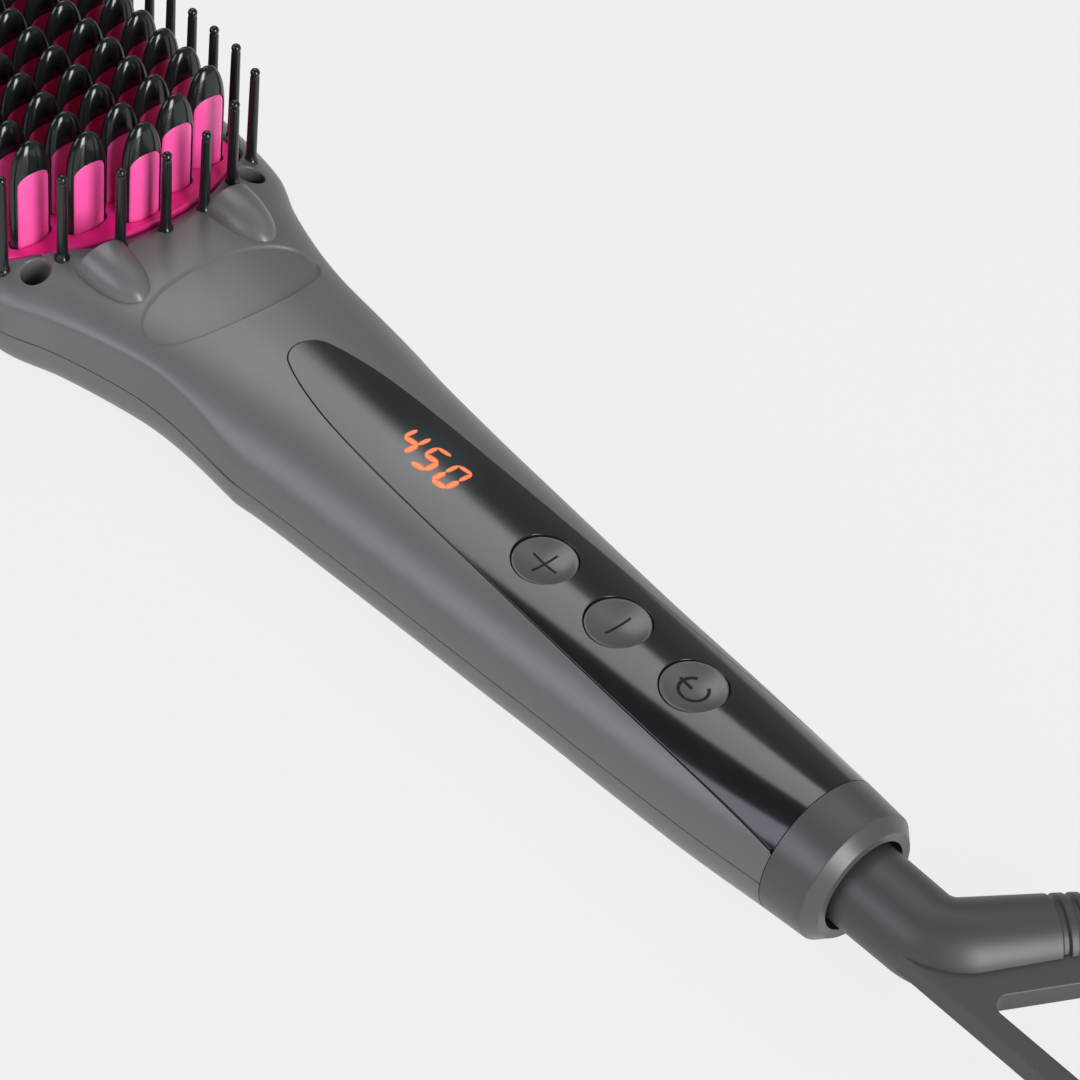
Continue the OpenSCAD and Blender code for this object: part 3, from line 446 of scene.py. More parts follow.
def pin_places():
    """Nine pins along each side, and the rest along the ends of the plate."""
    side = [(s * 27.4, 6.125 * k) for s in (-1, 1) for k in range(-4, 5)]
    ends = [(s * x, t * y) for s in (-1, 1) for t in (-1, 1) for x, y in
            ((25.85, 31.76), (17.6, 36.9), (8.7, 40.8))]
    return side + ends + [(0.0, -41.6), (0.0, 41.6)]


def axis_frame(points):
    """Turns points of the swivel's frame, whose Z runs out along its axis, into the brush's frame."""
    c, s = math.cos(AXIS_TILT), math.sin(AXIS_TILT)
    x, y, z = points[..., 0], points[..., 1], points[..., 2]
    return np.stack([x, HANDLE_END_Y + y * s - z * c, AXIS_Z + y * c + z * s], -1)


def lathe(profile, n, centre=(0.0, 0.0)):
    """Turns a profile of radius and height about the vertical through the centre."""
    t = np.arange(n) * 2 * np.pi / n
    r, z = np.asarray(profile, float)[:, 0, None], np.asarray(profile, float)[:, 1, None]
    return np.stack([centre[0] + r * np.cos(t), centre[1] + r * np.sin(t), z + 0 * t], -1)


def rounded(corners, radii, steps=6):
    """A line of points through the corners with each inner corner replaced by an arc of its radius."""
    corners = np.asarray(corners, float)
    line = [corners[:1]]
    for a, b, c, r in zip(corners[:-2], corners[1:-1], corners[2:], radii):
        u, v = unit(a - b), unit(c - b)
        half = math.acos(np.clip(u @ v, -1, 1)) / 2
        if r <= 0 or half > math.pi / 2 - 1e-3:
            line.append(b[None])
            continue
        cut = min(r / math.tan(half), 0.49 * min(np.linalg.norm(a - b), np.linalg.norm(c - b)))
        centre = b + unit(u + v) * cut / math.cos(half)
        start, end = b + u * cut - centre, b + v * cut - centre
        t = np.linspace(0, 1, steps)[:, None]
        line.append(centre + unit(start * (1 - t) + end * t) * cut * math.tan(half))
    return np.concatenate(line + [corners[-1:]])


# ---- Shells -------------------------------------------------------------------------------------


def section_angle(u):
    """Angle from the crown's middle to the seam, spread so that the points of a section lie evenly."""
    u = np.clip(np.abs(u), 0, 1)
    return math.pi / 2 * u**1.3 / (u**1.3 + (1 - u) ** 1.3)


def place_y(v):
    """Place along the brush for a parameter: itself up to the middle, then closing in on the tip."""
    t = np.clip(v / 60.0, 0, 1)
    return np.where(v < 0, v, HEAD_HALF_L * (1 - (1 - t) ** 3))


def upper_sheet(u, v):
    """Front shell: a superellipse arch from seam to seam, cut off by slightly sloping sides, with the
    shoulder between both rounded. Across, u runs from -1 to 1; along, v is the place."""
    sizes = bpy.context.scene.brush_sizes
    y = place_y(v)
    seam, e, share = along(y, SEAM), 2 / along(y, CROWN_EXP), tip_w(y)
    rise = (along(y, TOP) - seam) * tip_h(y)
    lip = (sizes.seam_gap / 2 + sizes.seam_round) / MM
    a_end = np.arccos((lip / rise) ** (1 / e))
    a = section_angle(u) / (math.pi / 2) * a_end
    z = rise * np.cos(a) ** e
    wide = along(y, CROWN) * share * np.sin(a) ** e
    side = along(y, SIDE) * share - SIDE_DRAFT * z * share
    x = np.sign(u) * np.maximum(soft_min(wide, side, sizes.shoulder_round / MM * share + 1e-6), 0)
    x = np.where(np.abs(u) < 1e-9, 0, x)
    return np.stack([x, collar_shear(y, seam + z), seam + z], -1)


def lower_sheet(u, v):
    """Rear cover: a superellipse bowl from seam to seam, levelled off where it rests."""
    sizes = bpy.context.scene.brush_sizes
    y = place_y(v)
    seam, e, share = along(y, SEAM), 2 / along(y, BACK_EXP), tip_w(y)
    depth = (seam - along(y, BOTTOM)) * tip_h(y)
    lip = (sizes.seam_gap / 2 + sizes.seam_round) / MM
    a = section_angle(u) / (math.pi / 2) * np.arccos((lip / depth) ** (1 / e))
    half = np.minimum(along(y, CROWN), along(y, SIDE)) * share
    z = seam - depth * np.cos(a) ** e
    z = (z + np.sqrt(z**2 + 0.04)) / 2
    x = np.sign(u) * half * np.sin(a) ** e
    return np.stack([x, collar_shear(y, z), z], -1)


def seam_lip(shape, sheet, v, up):
    """Edge of a shell at the seam: it turns in round a small radius and ends in a narrow land."""
    sizes = bpy.context.scene.brush_sizes
    r, land = sizes.seam_round / MM, 1.2
    for side in (-1.0, 1.0):
        edge = sheet(np.full_like(v, side), v)
        out = outline_normals(edge[:, :2], closed=False)
        out = out * np.sign(np.sum(out * edge[:, :2] * [1, 0]))
        turn = np.radians([0, 22, 45, 68, 90])
        inward = np.append(r * (1 - np.cos(turn)), land)
        drop = np.append(r * np.sin(turn), r)
        points = np.stack([
            edge[:, 0, None] - out[:, 0, None] * inward,
            edge[:, 1, None] - out[:, 1, None] * inward,
            edge[:, 2, None] - (drop if up else -drop) + 0 * out[:, :1],
        ], -1)
        facing = np.concatenate([out, np.zeros((len(out), 1))], 1)
        level = np.array([0, 0, -1.0 if up else 1.0])
        cosine = np.append(np.cos(turn), 0)[:, None]
        sine = np.append(np.sin(turn), 1)[:, None]
        normals = facing[:, None] * cosine + level * sine
        table = grid_faces(len(v), 6, False)
        a, b, c = (points.reshape(-1, 3)[table[0, k]] for k in (0, 1, 2))
        if np.cross(b - a, c - b) @ normals[0, 0] < 0:
            table = table[:, ::-1]
        shape.add(points, normals, {4: table})


def rim(shape, outline, way, r, floor_z, closed=True):
    """Rounded edge of an opening or of an inlay in the crown. From the outline it goes the given way,
    1 out of the outline or -1 into it, round a radius r and then down to a depth below the crown."""
    out = outline_normals(outline, closed) * way
    turn = np.radians([0, 18, 36, 54, 72, 90])
    reach = np.concatenate([[-0.15], r * np.sin(turn), [r, r]])
    drop = np.concatenate([[0.03], r * (1 - np.cos(turn)), [r + 0.4, floor_z]])
    flat = outline[None] + out[None] * reach[:, None, None]
    z = crown_z(flat[..., 0], flat[..., 1]) - drop[:, None]
    points = np.stack([flat[..., 0], collar_shear(flat[..., 1], z), z], -1)
    up = crown_normals(points)
    out3 = np.concatenate([out, np.zeros((len(out), 1))], 1)[None]
    tilt = np.concatenate([[0], turn, [math.pi / 2, math.pi / 2]])[:, None, None]
    normals = unit(up * np.cos(tilt) + out3 * np.sin(tilt))
    table = grid_faces(len(reach), len(outline), closed)
    a, b, c = (points.reshape(-1, 3)[table[len(outline) * 2, k]] for k in (0, 1, 2))
    if np.cross(b - a, c - b) @ normals[2, 0] < 0:
        table = table[:, ::-1]
    shape.add(points, normals, {4: table})


def cove_width(x):
    """Width of the hollow round the heat plate: narrow beside it and wide in front of its middle."""
    return 0.75 + 3.1 * np.exp(-((x / 13.0) ** 4))


def cove(shape):
    """Hollow that leads from the crown down to the edge of the heat plate, with an eased profile."""
    base = plate_outline()
    out = outline_normals(base)
    q = np.concatenate([[-0.05], np.linspace(0, 1, 13)])[:, None]
    wide = cove_width(base[:, 0])[None]
    grow = 0.25 + (wide - 0.25) * (1 - q)
    flat = base[None] + out[None] * grow[..., None]
    edge = base + out * 0.25
    front = np.exp(-((edge[:, 0] / 15.0) ** 4)) * (np.abs(edge[:, 1]) > 30)
    depth = crown_z(edge[:, 0], edge[:, 1]) - plate_top(edge[:, 0]) + 0.25 + 0.55 * front
    ease = np.clip(q, 0, 1) ** 2 * (3 - 2 * np.clip(q, 0, 1)) * 0.75 + np.clip(q, 0, 1) ** 3 * 0.25
    z = crown_z(flat[..., 0], flat[..., 1]) - depth[None] * ease
    z[0] -= 0.03
    points = np.stack([flat[..., 0], flat[..., 1], z], -1)
    shape.grid(points, closed=True, first=crown_normals(points[0]))
    wall = np.stack([points[-1], points[-1] * [1, 1, 0] + [0, 0, PLATE_FLOOR_Z]])
    inward = np.concatenate([-out, np.zeros((len(out), 1))], 1)
    shape.grid(wall, closed=True, outward=inward[None], first=inward, last=inward)
    return base + out * wide[0][:, None]


def oval_recess(shape):
    """Shallow recess: the outline of the oval, with a wall that eases down and a floor that follows the
    crown; rings run from outside the wall to the middle."""
    sizes = bpy.context.scene.brush_sizes
    outline = even(squircle(OVAL_HALF_W, OVAL_HALF_L, OVAL_EXP, 720), 220) + [0, OVAL_Y]
    out = outline_normals(outline)
    wall = 0.62
    grow = np.concatenate([[0.75, 0.6], np.linspace(0.25, 0.25 - wall, 15), [-0.5, -0.8, -1.2]])
    flat = outline[None] + out[None] * grow[:, None, None]
    scale = np.linspace(1, 0, 14)[1:, None, None]
    centre = np.array([0, OVAL_Y])
    flat = np.concatenate([flat, centre + (flat[-1:] - centre) * scale])
    depth = np.clip((0.25 - grow) / wall, 0, 1)
    depth = np.concatenate([depth**2 * (3 - 2 * depth), np.ones(13)]) * sizes.oval_depth / MM
    z = crown_z(flat[..., 0], flat[..., 1]) - depth[:, None]
    z[0] -= 0.03
    points = np.stack([flat[..., 0], flat[..., 1], z], -1)
    last = np.broadcast_to(crown_normals(points[-1])[:1], points[-1].shape)
    shape.grid(points, closed=True, first=crown_normals(points[0]), last=last)
    return outline + out * 0.6


def build_front_shell():
    """Shell of the head, neck and handle: the clipped arch, and a patch for each thing that cuts it."""
    shape = Shape()
    plate_edge = cove(shape)
    oval_edge = oval_recess(shape)
    wells = [circle(x, y, WELL_R + WELL_ROUND) for x, y in WELLS]
    for edge in wells:
        rim(shape, edge, -1, WELL_ROUND, 8.5)
    sizes = bpy.context.scene.brush_sizes
    r = sizes.panel_round / MM
    outline = panel_outline()
    panel_edge = outline + outline_normals(outline, closed=False) * (sizes.panel_gap / MM / 2 + r)
    open_edge = panel_edge[panel_edge[:, 1] > HANDLE_END_Y]
    rim(shape, open_edge, -1, r, 1.3, closed=False)
    edges = [plate_edge, oval_edge, panel_edge] + wells

    def keep(points):
        return np.min([outside(points, edge) for edge in edges], axis=0)

    u = np.linspace(-1, 1, 129)
    v = np.concatenate([np.linspace(HANDLE_END_Y, 0, 270)[:-1], np.linspace(0, 60, 64)])
    clipped(shape, upper_sheet, u, v, keep)
    seam_lip(shape, upper_sheet, v, True)
    make_piece("front_shell_skin", shape, "housing", "shell", ["front_shell"])


def build_rear_cover():
    """Cover of the back, levelled where it rests, with the three screw holes of the handle."""
    shape = Shape()
    holes = [circle(x, y, HANDLE_HOLE_R) for x, y in HANDLE_POSTS]
    for edge in holes:
        turn = np.radians([0, 22, 45, 68, 90])
        reach = np.concatenate([[-0.12], 0.25 * np.sin(turn), [0.25]])
        drop = np.concatenate([[0.03], 0.25 * (1 - np.cos(turn)), [2.6]])
        flat = edge[None] - outline_normals(edge)[None] * reach[:, None, None]
        z = back_z(flat[..., 0], flat[..., 1]) + drop[:, None]
        points = np.stack([flat[..., 0], flat[..., 1], z], -1)
        shape.grid(points, closed=True, outward=(0, 0, -1), first=(0, 0, -1))

    def keep(points):
        return np.min([outside(points, edge) for edge in holes], axis=0)

    u = np.linspace(-1, 1, 97)
    v = np.concatenate([np.linspace(HANDLE_END_Y, 0, 200)[:-1], np.linspace(0, 60, 56)])
    clipped(shape, lower_sheet, u, v, keep, outward=(0, 0, -1))
    seam_lip(shape, lower_sheet, v, False)
    make_piece("rear_cover_skin", shape, "housing", "shell", ["rear_cover"])


def back_z(x, y):
    """Height of the back under a point: the seam, less a superellipse, levelled where it rests."""
    seam, e = along(y, SEAM), along(y, BACK_EXP)
    half = np.minimum(along(y, CROWN), along(y, SIDE)) * tip_w(y)
    z = seam - (seam - along(y, BOTTOM)) * np.clip(1 - (np.abs(x) / half) ** e, 0, None) ** (1 / e)
    return (z + np.sqrt(z**2 + 0.04)) / 2


# ---- Heat plate, teeth and pins -----------------------------------------------------------------


def build_heat_plate():
    """Crowned plate with a rounded rim and a slot round every tooth."""
    shape = Shape()
    r, slot_round = 0.65, 0.12
    base = plate_outline()
    out = outline_normals(base)
    turn = np.radians(np.linspace(0, 90, 8))
    reach = np.concatenate([-r + r * np.sin(turn), [0.0]])
    drop = np.concatenate([r * (1 - np.cos(turn)), [PLATE_Z - PLATE_FLOOR_Z]])
    flat = base[None] + out[None] * reach[:, None, None]
    z = plate_top(flat[..., 0]) - drop[:, None]
    z[-1] = PLATE_FLOOR_Z
    points = np.stack([flat[..., 0], flat[..., 1], z], -1)
    shape.grid(points, closed=True, outward=(0, 0, 1))
    teeth = np.array(tooth_places())
    slot = even(squircle(SLOT_HALF_W, SLOT_HALF_L, 2, 400), 44)
    slot_out = outline_normals(slot)
    cut = Shape()
    reach = np.array([slot_round, slot_round * 0.5, slot_round * 0.13, 0, 0])
    drop = np.array([0, slot_round * 0.13, slot_round * 0.5, slot_round, 1.6])
    for x, y in teeth:
        flat = slot[None] + slot_out[None] * reach[:, None, None] + [x, y]
        z = plate_top(flat[..., 0]) - drop[:, None]
        cut.grid(np.stack([flat[..., 0], flat[..., 1], z], -1), closed=True, outward=(0, 0, 1))
    shape.copies(cut, [(0, 0, 0)])

    def keep(points):
        slots = ((points[..., None, 0] - teeth[:, 0]) / (SLOT_HALF_W + slot_round)) ** 2
        slots = slots + ((points[..., None, 1] - teeth[:, 1]) / (SLOT_HALF_L + slot_round)) ** 2
        return np.minimum(slots.min(-1) - 1, -outside(points, base - out * r))

    def top(u, v):
        return np.stack([u, v, plate_top(u)], -1)

    clipped(shape, top, np.linspace(-PLATE_HALF_W, PLATE_HALF_W, 115),
            np.linspace(-PLATE_HALF_L, PLATE_HALF_L, 177), keep)
    make_piece("heat_plate_skin", shape, "housing", "pink_coat", ["heat_plate"])


def nose_share(z):
    """Share of a cap's width that is left at a height: one up to the nose, then a superellipse."""
    sizes = bpy.context.scene.brush_sizes
    tip, nose = sizes.tooth_tip / MM, sizes.nose / MM
    t = np.clip((z - tip + nose) / nose, 0, 1)
    return (1 - t**NOSE_EXP) ** (1 / NOSE_EXP)


def tooth_y(x, z, shrink=0.0):
    """Half thickness of a tooth at a point of its front: an ellipse that narrows with the nose."""
    sizes = bpy.context.scene.brush_sizes
    half_w, half_t = sizes.tooth_half_w / MM, sizes.tooth_half_t / MM
    s = np.maximum(nose_share(z), 1e-6)
    return half_t * s * np.sqrt(np.clip(1 - (x / (half_w * s)) ** 2, 0, None)) - shrink


def build_teeth():
    """Caps: ellipses that close in a nose, with an arched window through them. Fins: the same front set
    a little deeper, filling the window."""
    sizes = bpy.context.scene.brush_sizes
    half_w, half_t = sizes.tooth_half_w / MM, sizes.tooth_half_t / MM
    window, spring, rise = sizes.window_half_w / MM, WINDOW_SPRING_Z, WINDOW_RISE
    foot, shoulder, nose = TOOTH_FOOT_Z, (sizes.tooth_tip - sizes.nose) / MM, sizes.nose / MM

    def cap(u, v):
        """Ellipse at angle u; v runs from the foot to the shoulder and then round the nose."""
        turn = np.clip(v - 1, 0, 1) * math.pi / 2
        rounding = shoulder + nose * np.sin(turn) ** (2 / NOSE_EXP)
        z = np.where(v < 1, foot + (shoulder - foot) * v, rounding)
        s = np.cos(turn) ** (2 / NOSE_EXP)
        return np.stack([half_w * s * np.cos(u), half_t * s * np.sin(u), z], -1)

    def keep(points):
        lift = np.maximum(points[..., 2] - spring, 0) / rise
        return (points[..., 0] / window) ** 2 + lift**2 - 1

    caps = Shape()
    u = np.linspace(0, 2 * math.pi, 41)
    v = np.concatenate([np.linspace(0, 1, 4)[:-1], 1 + np.linspace(0, 1, 14) ** 0.85])
    clipped(caps, lambda a, b: cap(a, np.clip(b, 0, 2)), u, v, keep)
    turn = np.linspace(0, math.pi, 19)
    bow = np.stack([window * np.cos(turn), spring + rise * np.sin(turn)], -1)
    arch = np.concatenate([[[window, foot]], bow, [[-window, foot]]])
    deep = tooth_y(arch[:, 0], arch[:, 1])
    span = np.array([-1, -0.92, 0, 0.92, 1])[:, None]
    tunnel = np.stack([arch[:, 0] + 0 * span, deep * span, arch[:, 1] + 0 * span], -1)
    caps.grid(tunnel, outward=-(tunnel - np.array([0, 0, 30.0])) * [1, 0, 1])

    fin = Shape()
    gap, edge = 0.1, 0.35
    turn = np.linspace(0, math.pi / 2, 12)
    z = np.concatenate([np.linspace(18.1, spring, 7)[:-1], spring + (rise - gap) * np.sin(turn)])
    width = np.concatenate([np.full(6, window - gap), (window - gap) * np.cos(turn)])
    p = np.sin(np.linspace(-math.pi / 2, math.pi / 2, 15))
    x = width[:, None] * p
    depth = np.maximum(tooth_y(x, z[:, None], 0.12), 0.3)
    near = np.clip(1 - (width[:, None] - np.abs(x)) / edge, 0, 1)
    depth = depth - edge * (1 - np.sqrt(1 - near**2)) * 0.75
    front = np.stack([x, -depth, z[:, None] + 0 * x], -1)
    back = np.stack([x, depth, z[:, None] + 0 * x], -1)[:, ::-1]
    loop = np.concatenate([front, back], 1)
    fin.grid(loop, closed=True, outward=loop * [1, 1, 0])

    places = [(x, y, 0.0) for x, y in tooth_places()]
    cap_set, fin_set = Shape(), Shape()
    cap_set.copies(caps, places)
    fin_set.copies(fin, places)
    make_piece("tooth_cap_set", cap_set, "housing", "gloss_black", ["tooth_caps"])
    # the fins' look carries a painted highlight and a painted shadow
    make_piece("heat_fin_set", fin_set, "housing", "pink_coat", ["heat_fins"], look="fin_coat")


def build_guard_pins():
    """Pins turned from a profile: a flared foot, a slightly tapered shaft, a fine neck and a ball."""
    sizes = bpy.context.scene.brush_sizes
    tip, r = sizes.pin_tip / MM, sizes.pin_r / MM
    shape = Shape()
    for x, y in pin_places():
        base = float(crown_z(np.array(x), np.array(y)))
        ball = np.radians(np.linspace(-38, 90, 9))
        foot = [(1.35, base - 1.2), (1.35, base + 0.05), (1.22, base + 0.35), (1.02, base + 0.75),
                (r + 0.1, base + 1.5), (r + 0.05, (base + tip) / 2), (r - 0.03, tip - 2.2 * r),
                (r - 0.1, tip - 1.75 * r)]
        profile = foot + [(r * math.cos(a), tip - r + r * math.sin(a)) for a in ball]
        points = lathe(profile, 20, (x, y))
        shape.grid(points, closed=True, outward=points - [x, y, base])
    make_piece("guard_pin_set", shape, "housing", "gloss_black", ["guard_pins"])


def build_hoods():
    """Hoods over the outlets: half bullets on the crown, cut off at a slant that faces the plate, with a
    hollow mouth behind the cut."""
    length, half_w, height, root = 12.3, 4.9, 3.9, 0.8
    front_y, slope = -41.2, math.tan(math.radians(12))
    for side, name in ((-1, "outlet_hood_left"), (1, "outlet_hood_right")):
        shape = Shape()

        def ring(t, share=1.0, back=0.0):
            """Half ellipse across the hood at t of its length, or a smaller one set back in the mouth."""
            s = np.sqrt(np.maximum(1 - t**2.2, 0)) * share
            a = np.linspace(0, math.pi, 41)
            lift = (height + root) * s * np.sin(a) ** 0.92 - root
            y = front_y - t * length - slope * np.maximum(lift + root / 2, 0) * (1 - t) ** 1.5 - back
            x = side * HOOD_X + half_w * s * np.cos(a)
            ground = crown_z(np.full_like(y, HOOD_X), y)
            return np.stack([x, y, ground + lift], -1)

        t = np.sin(np.linspace(0, math.pi / 2, 26))
        outer = np.stack([ring(k) for k in t])
        centre = np.array([side * HOOD_X, front_y - length / 2, 20.0])
        shape.grid(outer, outward=outer - centre)
        steps = [(1.0, 0.0), (0.985, -0.08), (0.84, -0.06), (0.8, 0.3), (0.72, 2.6), (0.4, 3.2), (0.0, 3.2)]
        mouth = np.stack([ring(0.0, share, back) for share, back in steps])
        shape.grid(mouth, outward=(0, 1, 0.2))
        make_piece(name, shape, "housing", "shell")


# ---- Control panel ------------------------------------------------------------------------------


def build_panel():
    """Inlay that follows the crown inside its outline, with a fine edge and a hole for each button."""
    sizes = bpy.context.scene.brush_sizes
    r, gap = sizes.panel_round / MM, sizes.panel_gap / MM
    shape = Shape()
    outline = panel_outline()
    edge = outline - outline_normals(outline, closed=False) * (gap / 2 + r)
    rim(shape, edge[edge[:, 1] > HANDLE_END_Y], 1, r, 1.1, closed=False)
    hole_round = 0.12
    holes = [circle(0, y, BUTTON_HOLE_R + hole_round, 96) for y in BUTTON_Y]
    for hole in holes:
        rim(shape, hole, -1, hole_round, 1.25)

    def keep(points):
        inside = -outside(points, edge)
        return np.minimum(inside, np.min([outside(points, hole) for hole in holes], axis=0))

    def sheet(u, v):
        z = crown_z(u, v)
        return np.stack([u, collar_shear(v, z), z], -1)

    clipped(shape, sheet, np.linspace(-10.6, 10.6, 45), np.linspace(HANDLE_END_Y, PANEL_TIP_Y, 260), keep)
    make_piece("control_panel_skin", shape, "housing", "panel", ["control_panel"])


def dish_z(radius, top):
    """Height of a button's dish: a sphere that dips below the rim."""
    sizes = bpy.context.scene.brush_sizes
    r, depth = 16.0, sizes.dish_depth / MM
    return np.minimum(top - depth + r - np.sqrt(r**2 - radius**2), top)


def stroke(path, width, height_of, lift):
    """Flat strip along an open path in the plane, set on a surface. Its edges go down into the surface."""
    out = outline_normals(path, closed=False)
    sink = lift + 0.06
    reach = width / 2 * np.array([-1, -1, -0.5, 0, 0.5, 1, 1])
    flat = path[:, None] + out[:, None] * reach[None, :, None]
    flat = np.concatenate([flat[:1], flat, flat[-1:]])
    z = height_of(flat[..., 0], flat[..., 1]) + lift
    z[:, [0, -1]] -= sink
    z[[0, -1], 1:-1] -= sink
    return np.concatenate([flat, z[..., None]], -1)


def line(a, b, n=14):
    """Points at even distances from a to b."""
    t = np.linspace(0, 1, n)[:, None]
    return np.array(a, float) * (1 - t) + np.array(b, float) * t


def build_buttons():
    """Dished buttons turned from a profile, each with its sign set into the dish."""
    reach, ring_r = 2.65, 2.3
    bar = line((-reach, 0), (reach, 0))
    turn = np.radians(np.linspace(-58, 238, 40) + 180)
    ring = np.stack([ring_r * np.sin(turn), ring_r * np.cos(turn)], -1)
    signs = {
        "plus": [bar, line((0, -reach), (0, reach))],
        "minus": [bar],
        "power": [ring, line((0.0, 0.3), (0.0, 2.9))],
    }
    widths = {"plus": 0.42, "minus": 0.42, "power": 0.54}
    sizes = bpy.context.scene.brush_sizes
    button_r = sizes.button_r / MM
    for name, y in zip(("plus", "minus", "power"), BUTTON_Y):
        top = float(crown_z(np.array(0.0), np.array(y))) - BUTTON_SINK
        dish = np.linspace(0, button_r - 0.42, 16)
        turn = np.radians(np.linspace(0, 90, 6))
        round_r = 0.16
        profile = np.concatenate([
            np.stack([dish, dish_z(dish, top)], -1),
            [[button_r - 0.34, top - 0.012], [button_r - 0.26, top]],
            np.stack([button_r - round_r + round_r * np.sin(turn), top - round_r * (1 - np.cos(turn))], -1),
            [[button_r, top - 2.2]],
        ])
        shape = Shape()
        points = lathe(profile, 96, (0.0, y))
        shape.grid(points, closed=True, outward=(0, 0, 1), first=(0, 0, 1))
        make_piece("button_" + name + "_skin", shape, name + "_button", "gloss_black", ["button_" + name],
                   look="button_satin")
        sign = Shape()
        for path in signs[name]:
            turned = np.stack([path[:, 0], path[:, 1] + y], -1)
            strip = stroke(turned, widths[name], lambda a, b: dish_z(np.hypot(a, b - y), top), 0.025)
            sign.grid(strip, outward=(0, 0, 1))
        make_piece("sign_" + name, sign, name + "_button", "gloss_black", look="sign_ink")


def build_display():
    """Three digits of seven straight segments, lit from below, set on the panel's crown."""
    lit = {"4": "bcfg", "5": "acdfg", "0": "abcdef"}
    half_w, half_h, slant, gap = 1.38, 2.72, 0.146, 0.07
    heavy, light = 0.6, 0.44
    ends = {
        "a": ((-1, 1), (1, 1)), "b": ((1, 1), (1, 0)), "c": ((1, 0), (1, -1)), "d": ((-1, -1), (1, -1)),
        "e": ((-1, 0), (-1, -1)), "f": ((-1, 1), (-1, 0)), "g": ((-1, 0), (1, 0)),
    }
    shape = Shape()
    for digit, y in zip("450", DIGIT_Y):
        for name in lit[digit]:
            a, b = (np.array([p[0] * half_w, p[1] * half_h]) for p in ends[name])
            step = unit(b - a)
            path = line(a + step * gap, b - step * gap, 11)
            taper = np.array([0.3, 0.62, 0.9, 1, 1, 1, 1, 1, 0.9, 0.62, 0.3])[:, None]
            out = unit(np.array([step[1], -step[0]]))
            share = np.linspace(-1, 1, 7)
            across = share * (light if name in "abf" else heavy)
            flat = path[:, None] + out * (across * taper)[..., None]
            x, yy = 0.15 + flat[..., 1] + slant * flat[..., 0], y - flat[..., 0]
            z = crown_z(x, yy) + 0.015 * (1 - np.abs(share) ** 4)
            uv = np.stack([0.5 + share / 2 + 0 * taper, np.linspace(0, 1, 11)[:, None] + 0 * share], -1)
            shape.grid(np.stack([x, yy, z], -1), uv=uv)
    make_piece("display_digits", shape, "housing", "display", look="digit_light")


# ---- Swivel end ---------------------------------------------------------------------------------


def build_collar():
    """Ring at the handle's end, turned from a profile with rounded corners."""
    profile = rounded([(10.0, 0.05), (11.8, 0.05), (11.2, 7.6), (9.4, 9.6), (7.85, 9.6), (7.85, 5.0),
                       (6.4, 5.0)], [0.12, 0.3, 0.14, 0.14, 0.1])
    fine = even(profile, 90, closed=False)
    merged = np.concatenate([profile, fine])
    order = np.argsort(path_length(profile, merged))
    points = axis_frame(lathe(merged[order], 144))
    ring = axis_frame(lathe(np.broadcast_to([9.0, 6.0], (len(merged), 2)), 144))
    shape = Shape()
    shape.grid(points, closed=True, outward=points - ring)
    make_piece("end_collar_skin", shape, "housing", "shell", ["end_collar"], look="collar_satin")


def path_length(path, points):
    """Distance along a path to the place on it that is nearest to each point."""
    a, b = path[:-1][None], path[1:][None]
    p = points[:, None]
    size = np.sum((b - a) ** 2, -1)
    t = np.clip(np.sum((p - a) * (b - a), -1) / size, 0, 1)
    gap = np.linalg.norm(p - a - t[..., None] * (b - a), axis=-1)
    best = gap.argmin(1)
    start = np.concatenate([[0], np.cumsum(np.sqrt(size[0]))])
    return start[best] + t[np.arange(len(points)), best] * np.sqrt(size[0])[best]


ELBOW_START, ELBOW_BEND_R, BOOT_TURN, ARM_L = 20.2, 7.0, math.radians(60), 39.0
BOOT_R, ELBOW_R, ARM_END_R = 7.05, 6.82, 4.4
LOOP_POINTS = [(-6.5, 14), (-6.4, 60), (23.5, 57.8), (28.5, 40.8), (2, 16)]
LOOP_HOLE = [(-2.9, 35.15), (-2.9, 56), (19.3, 54.2), (21.3, 47.8)]
LOOP_T = 3.8
LOOP_CORNER_R, LOOP_HOLE_CORNER_R = 3.0, 2.0
LOOP_MIDDLE = np.array([4.5, 47.5])
LOOP_STEPS = 240
HUB_Z = 5.3
GROOVE_START, GROOVE_PITCH, GROOVE_W, GROOVE_DEPTH, GROOVES = 12.5, 2.45, 1.1, 0.55, 10


def boot_line(s):
    """Middle line of the boot and its direction: straight along the axis, an arc, then straight."""
    bend = np.clip((s - ELBOW_START) / ELBOW_BEND_R, 0, BOOT_TURN)
    past = np.maximum(s - ELBOW_START - ELBOW_BEND_R * BOOT_TURN, 0)
    x = ELBOW_BEND_R * (1 - np.cos(bend)) + past * math.sin(BOOT_TURN)
    z = np.minimum(s, ELBOW_START) + ELBOW_BEND_R * np.sin(bend) + past * math.cos(BOOT_TURN)
    return x, z, bend


def boot_radius(s):
    """Radius along the boot: the tube narrows to the elbow, and the arm narrows to its end, with soft
    grooves between its ribs."""
    arm = s - ELBOW_START - ELBOW_BEND_R * BOOT_TURN
    r = np.interp(s, [HUB_Z, ELBOW_START], [BOOT_R, ELBOW_R])
    r = np.where(arm > 0, ELBOW_R - (ELBOW_R - ARM_END_R) * arm / ARM_L, r)
    place = (arm - GROOVE_START) % GROOVE_PITCH
    last = GROOVE_START + GROOVE_PITCH * (GROOVES - 1) + GROOVE_W
    inside = (arm > GROOVE_START) & (arm < last)
    edge = 0.14
    depth = np.clip(np.minimum(place, GROOVE_W - place) / edge + 0.5, 0, 1)
    return r - np.where(inside, GROOVE_DEPTH * depth**2 * (3 - 2 * depth), 0)


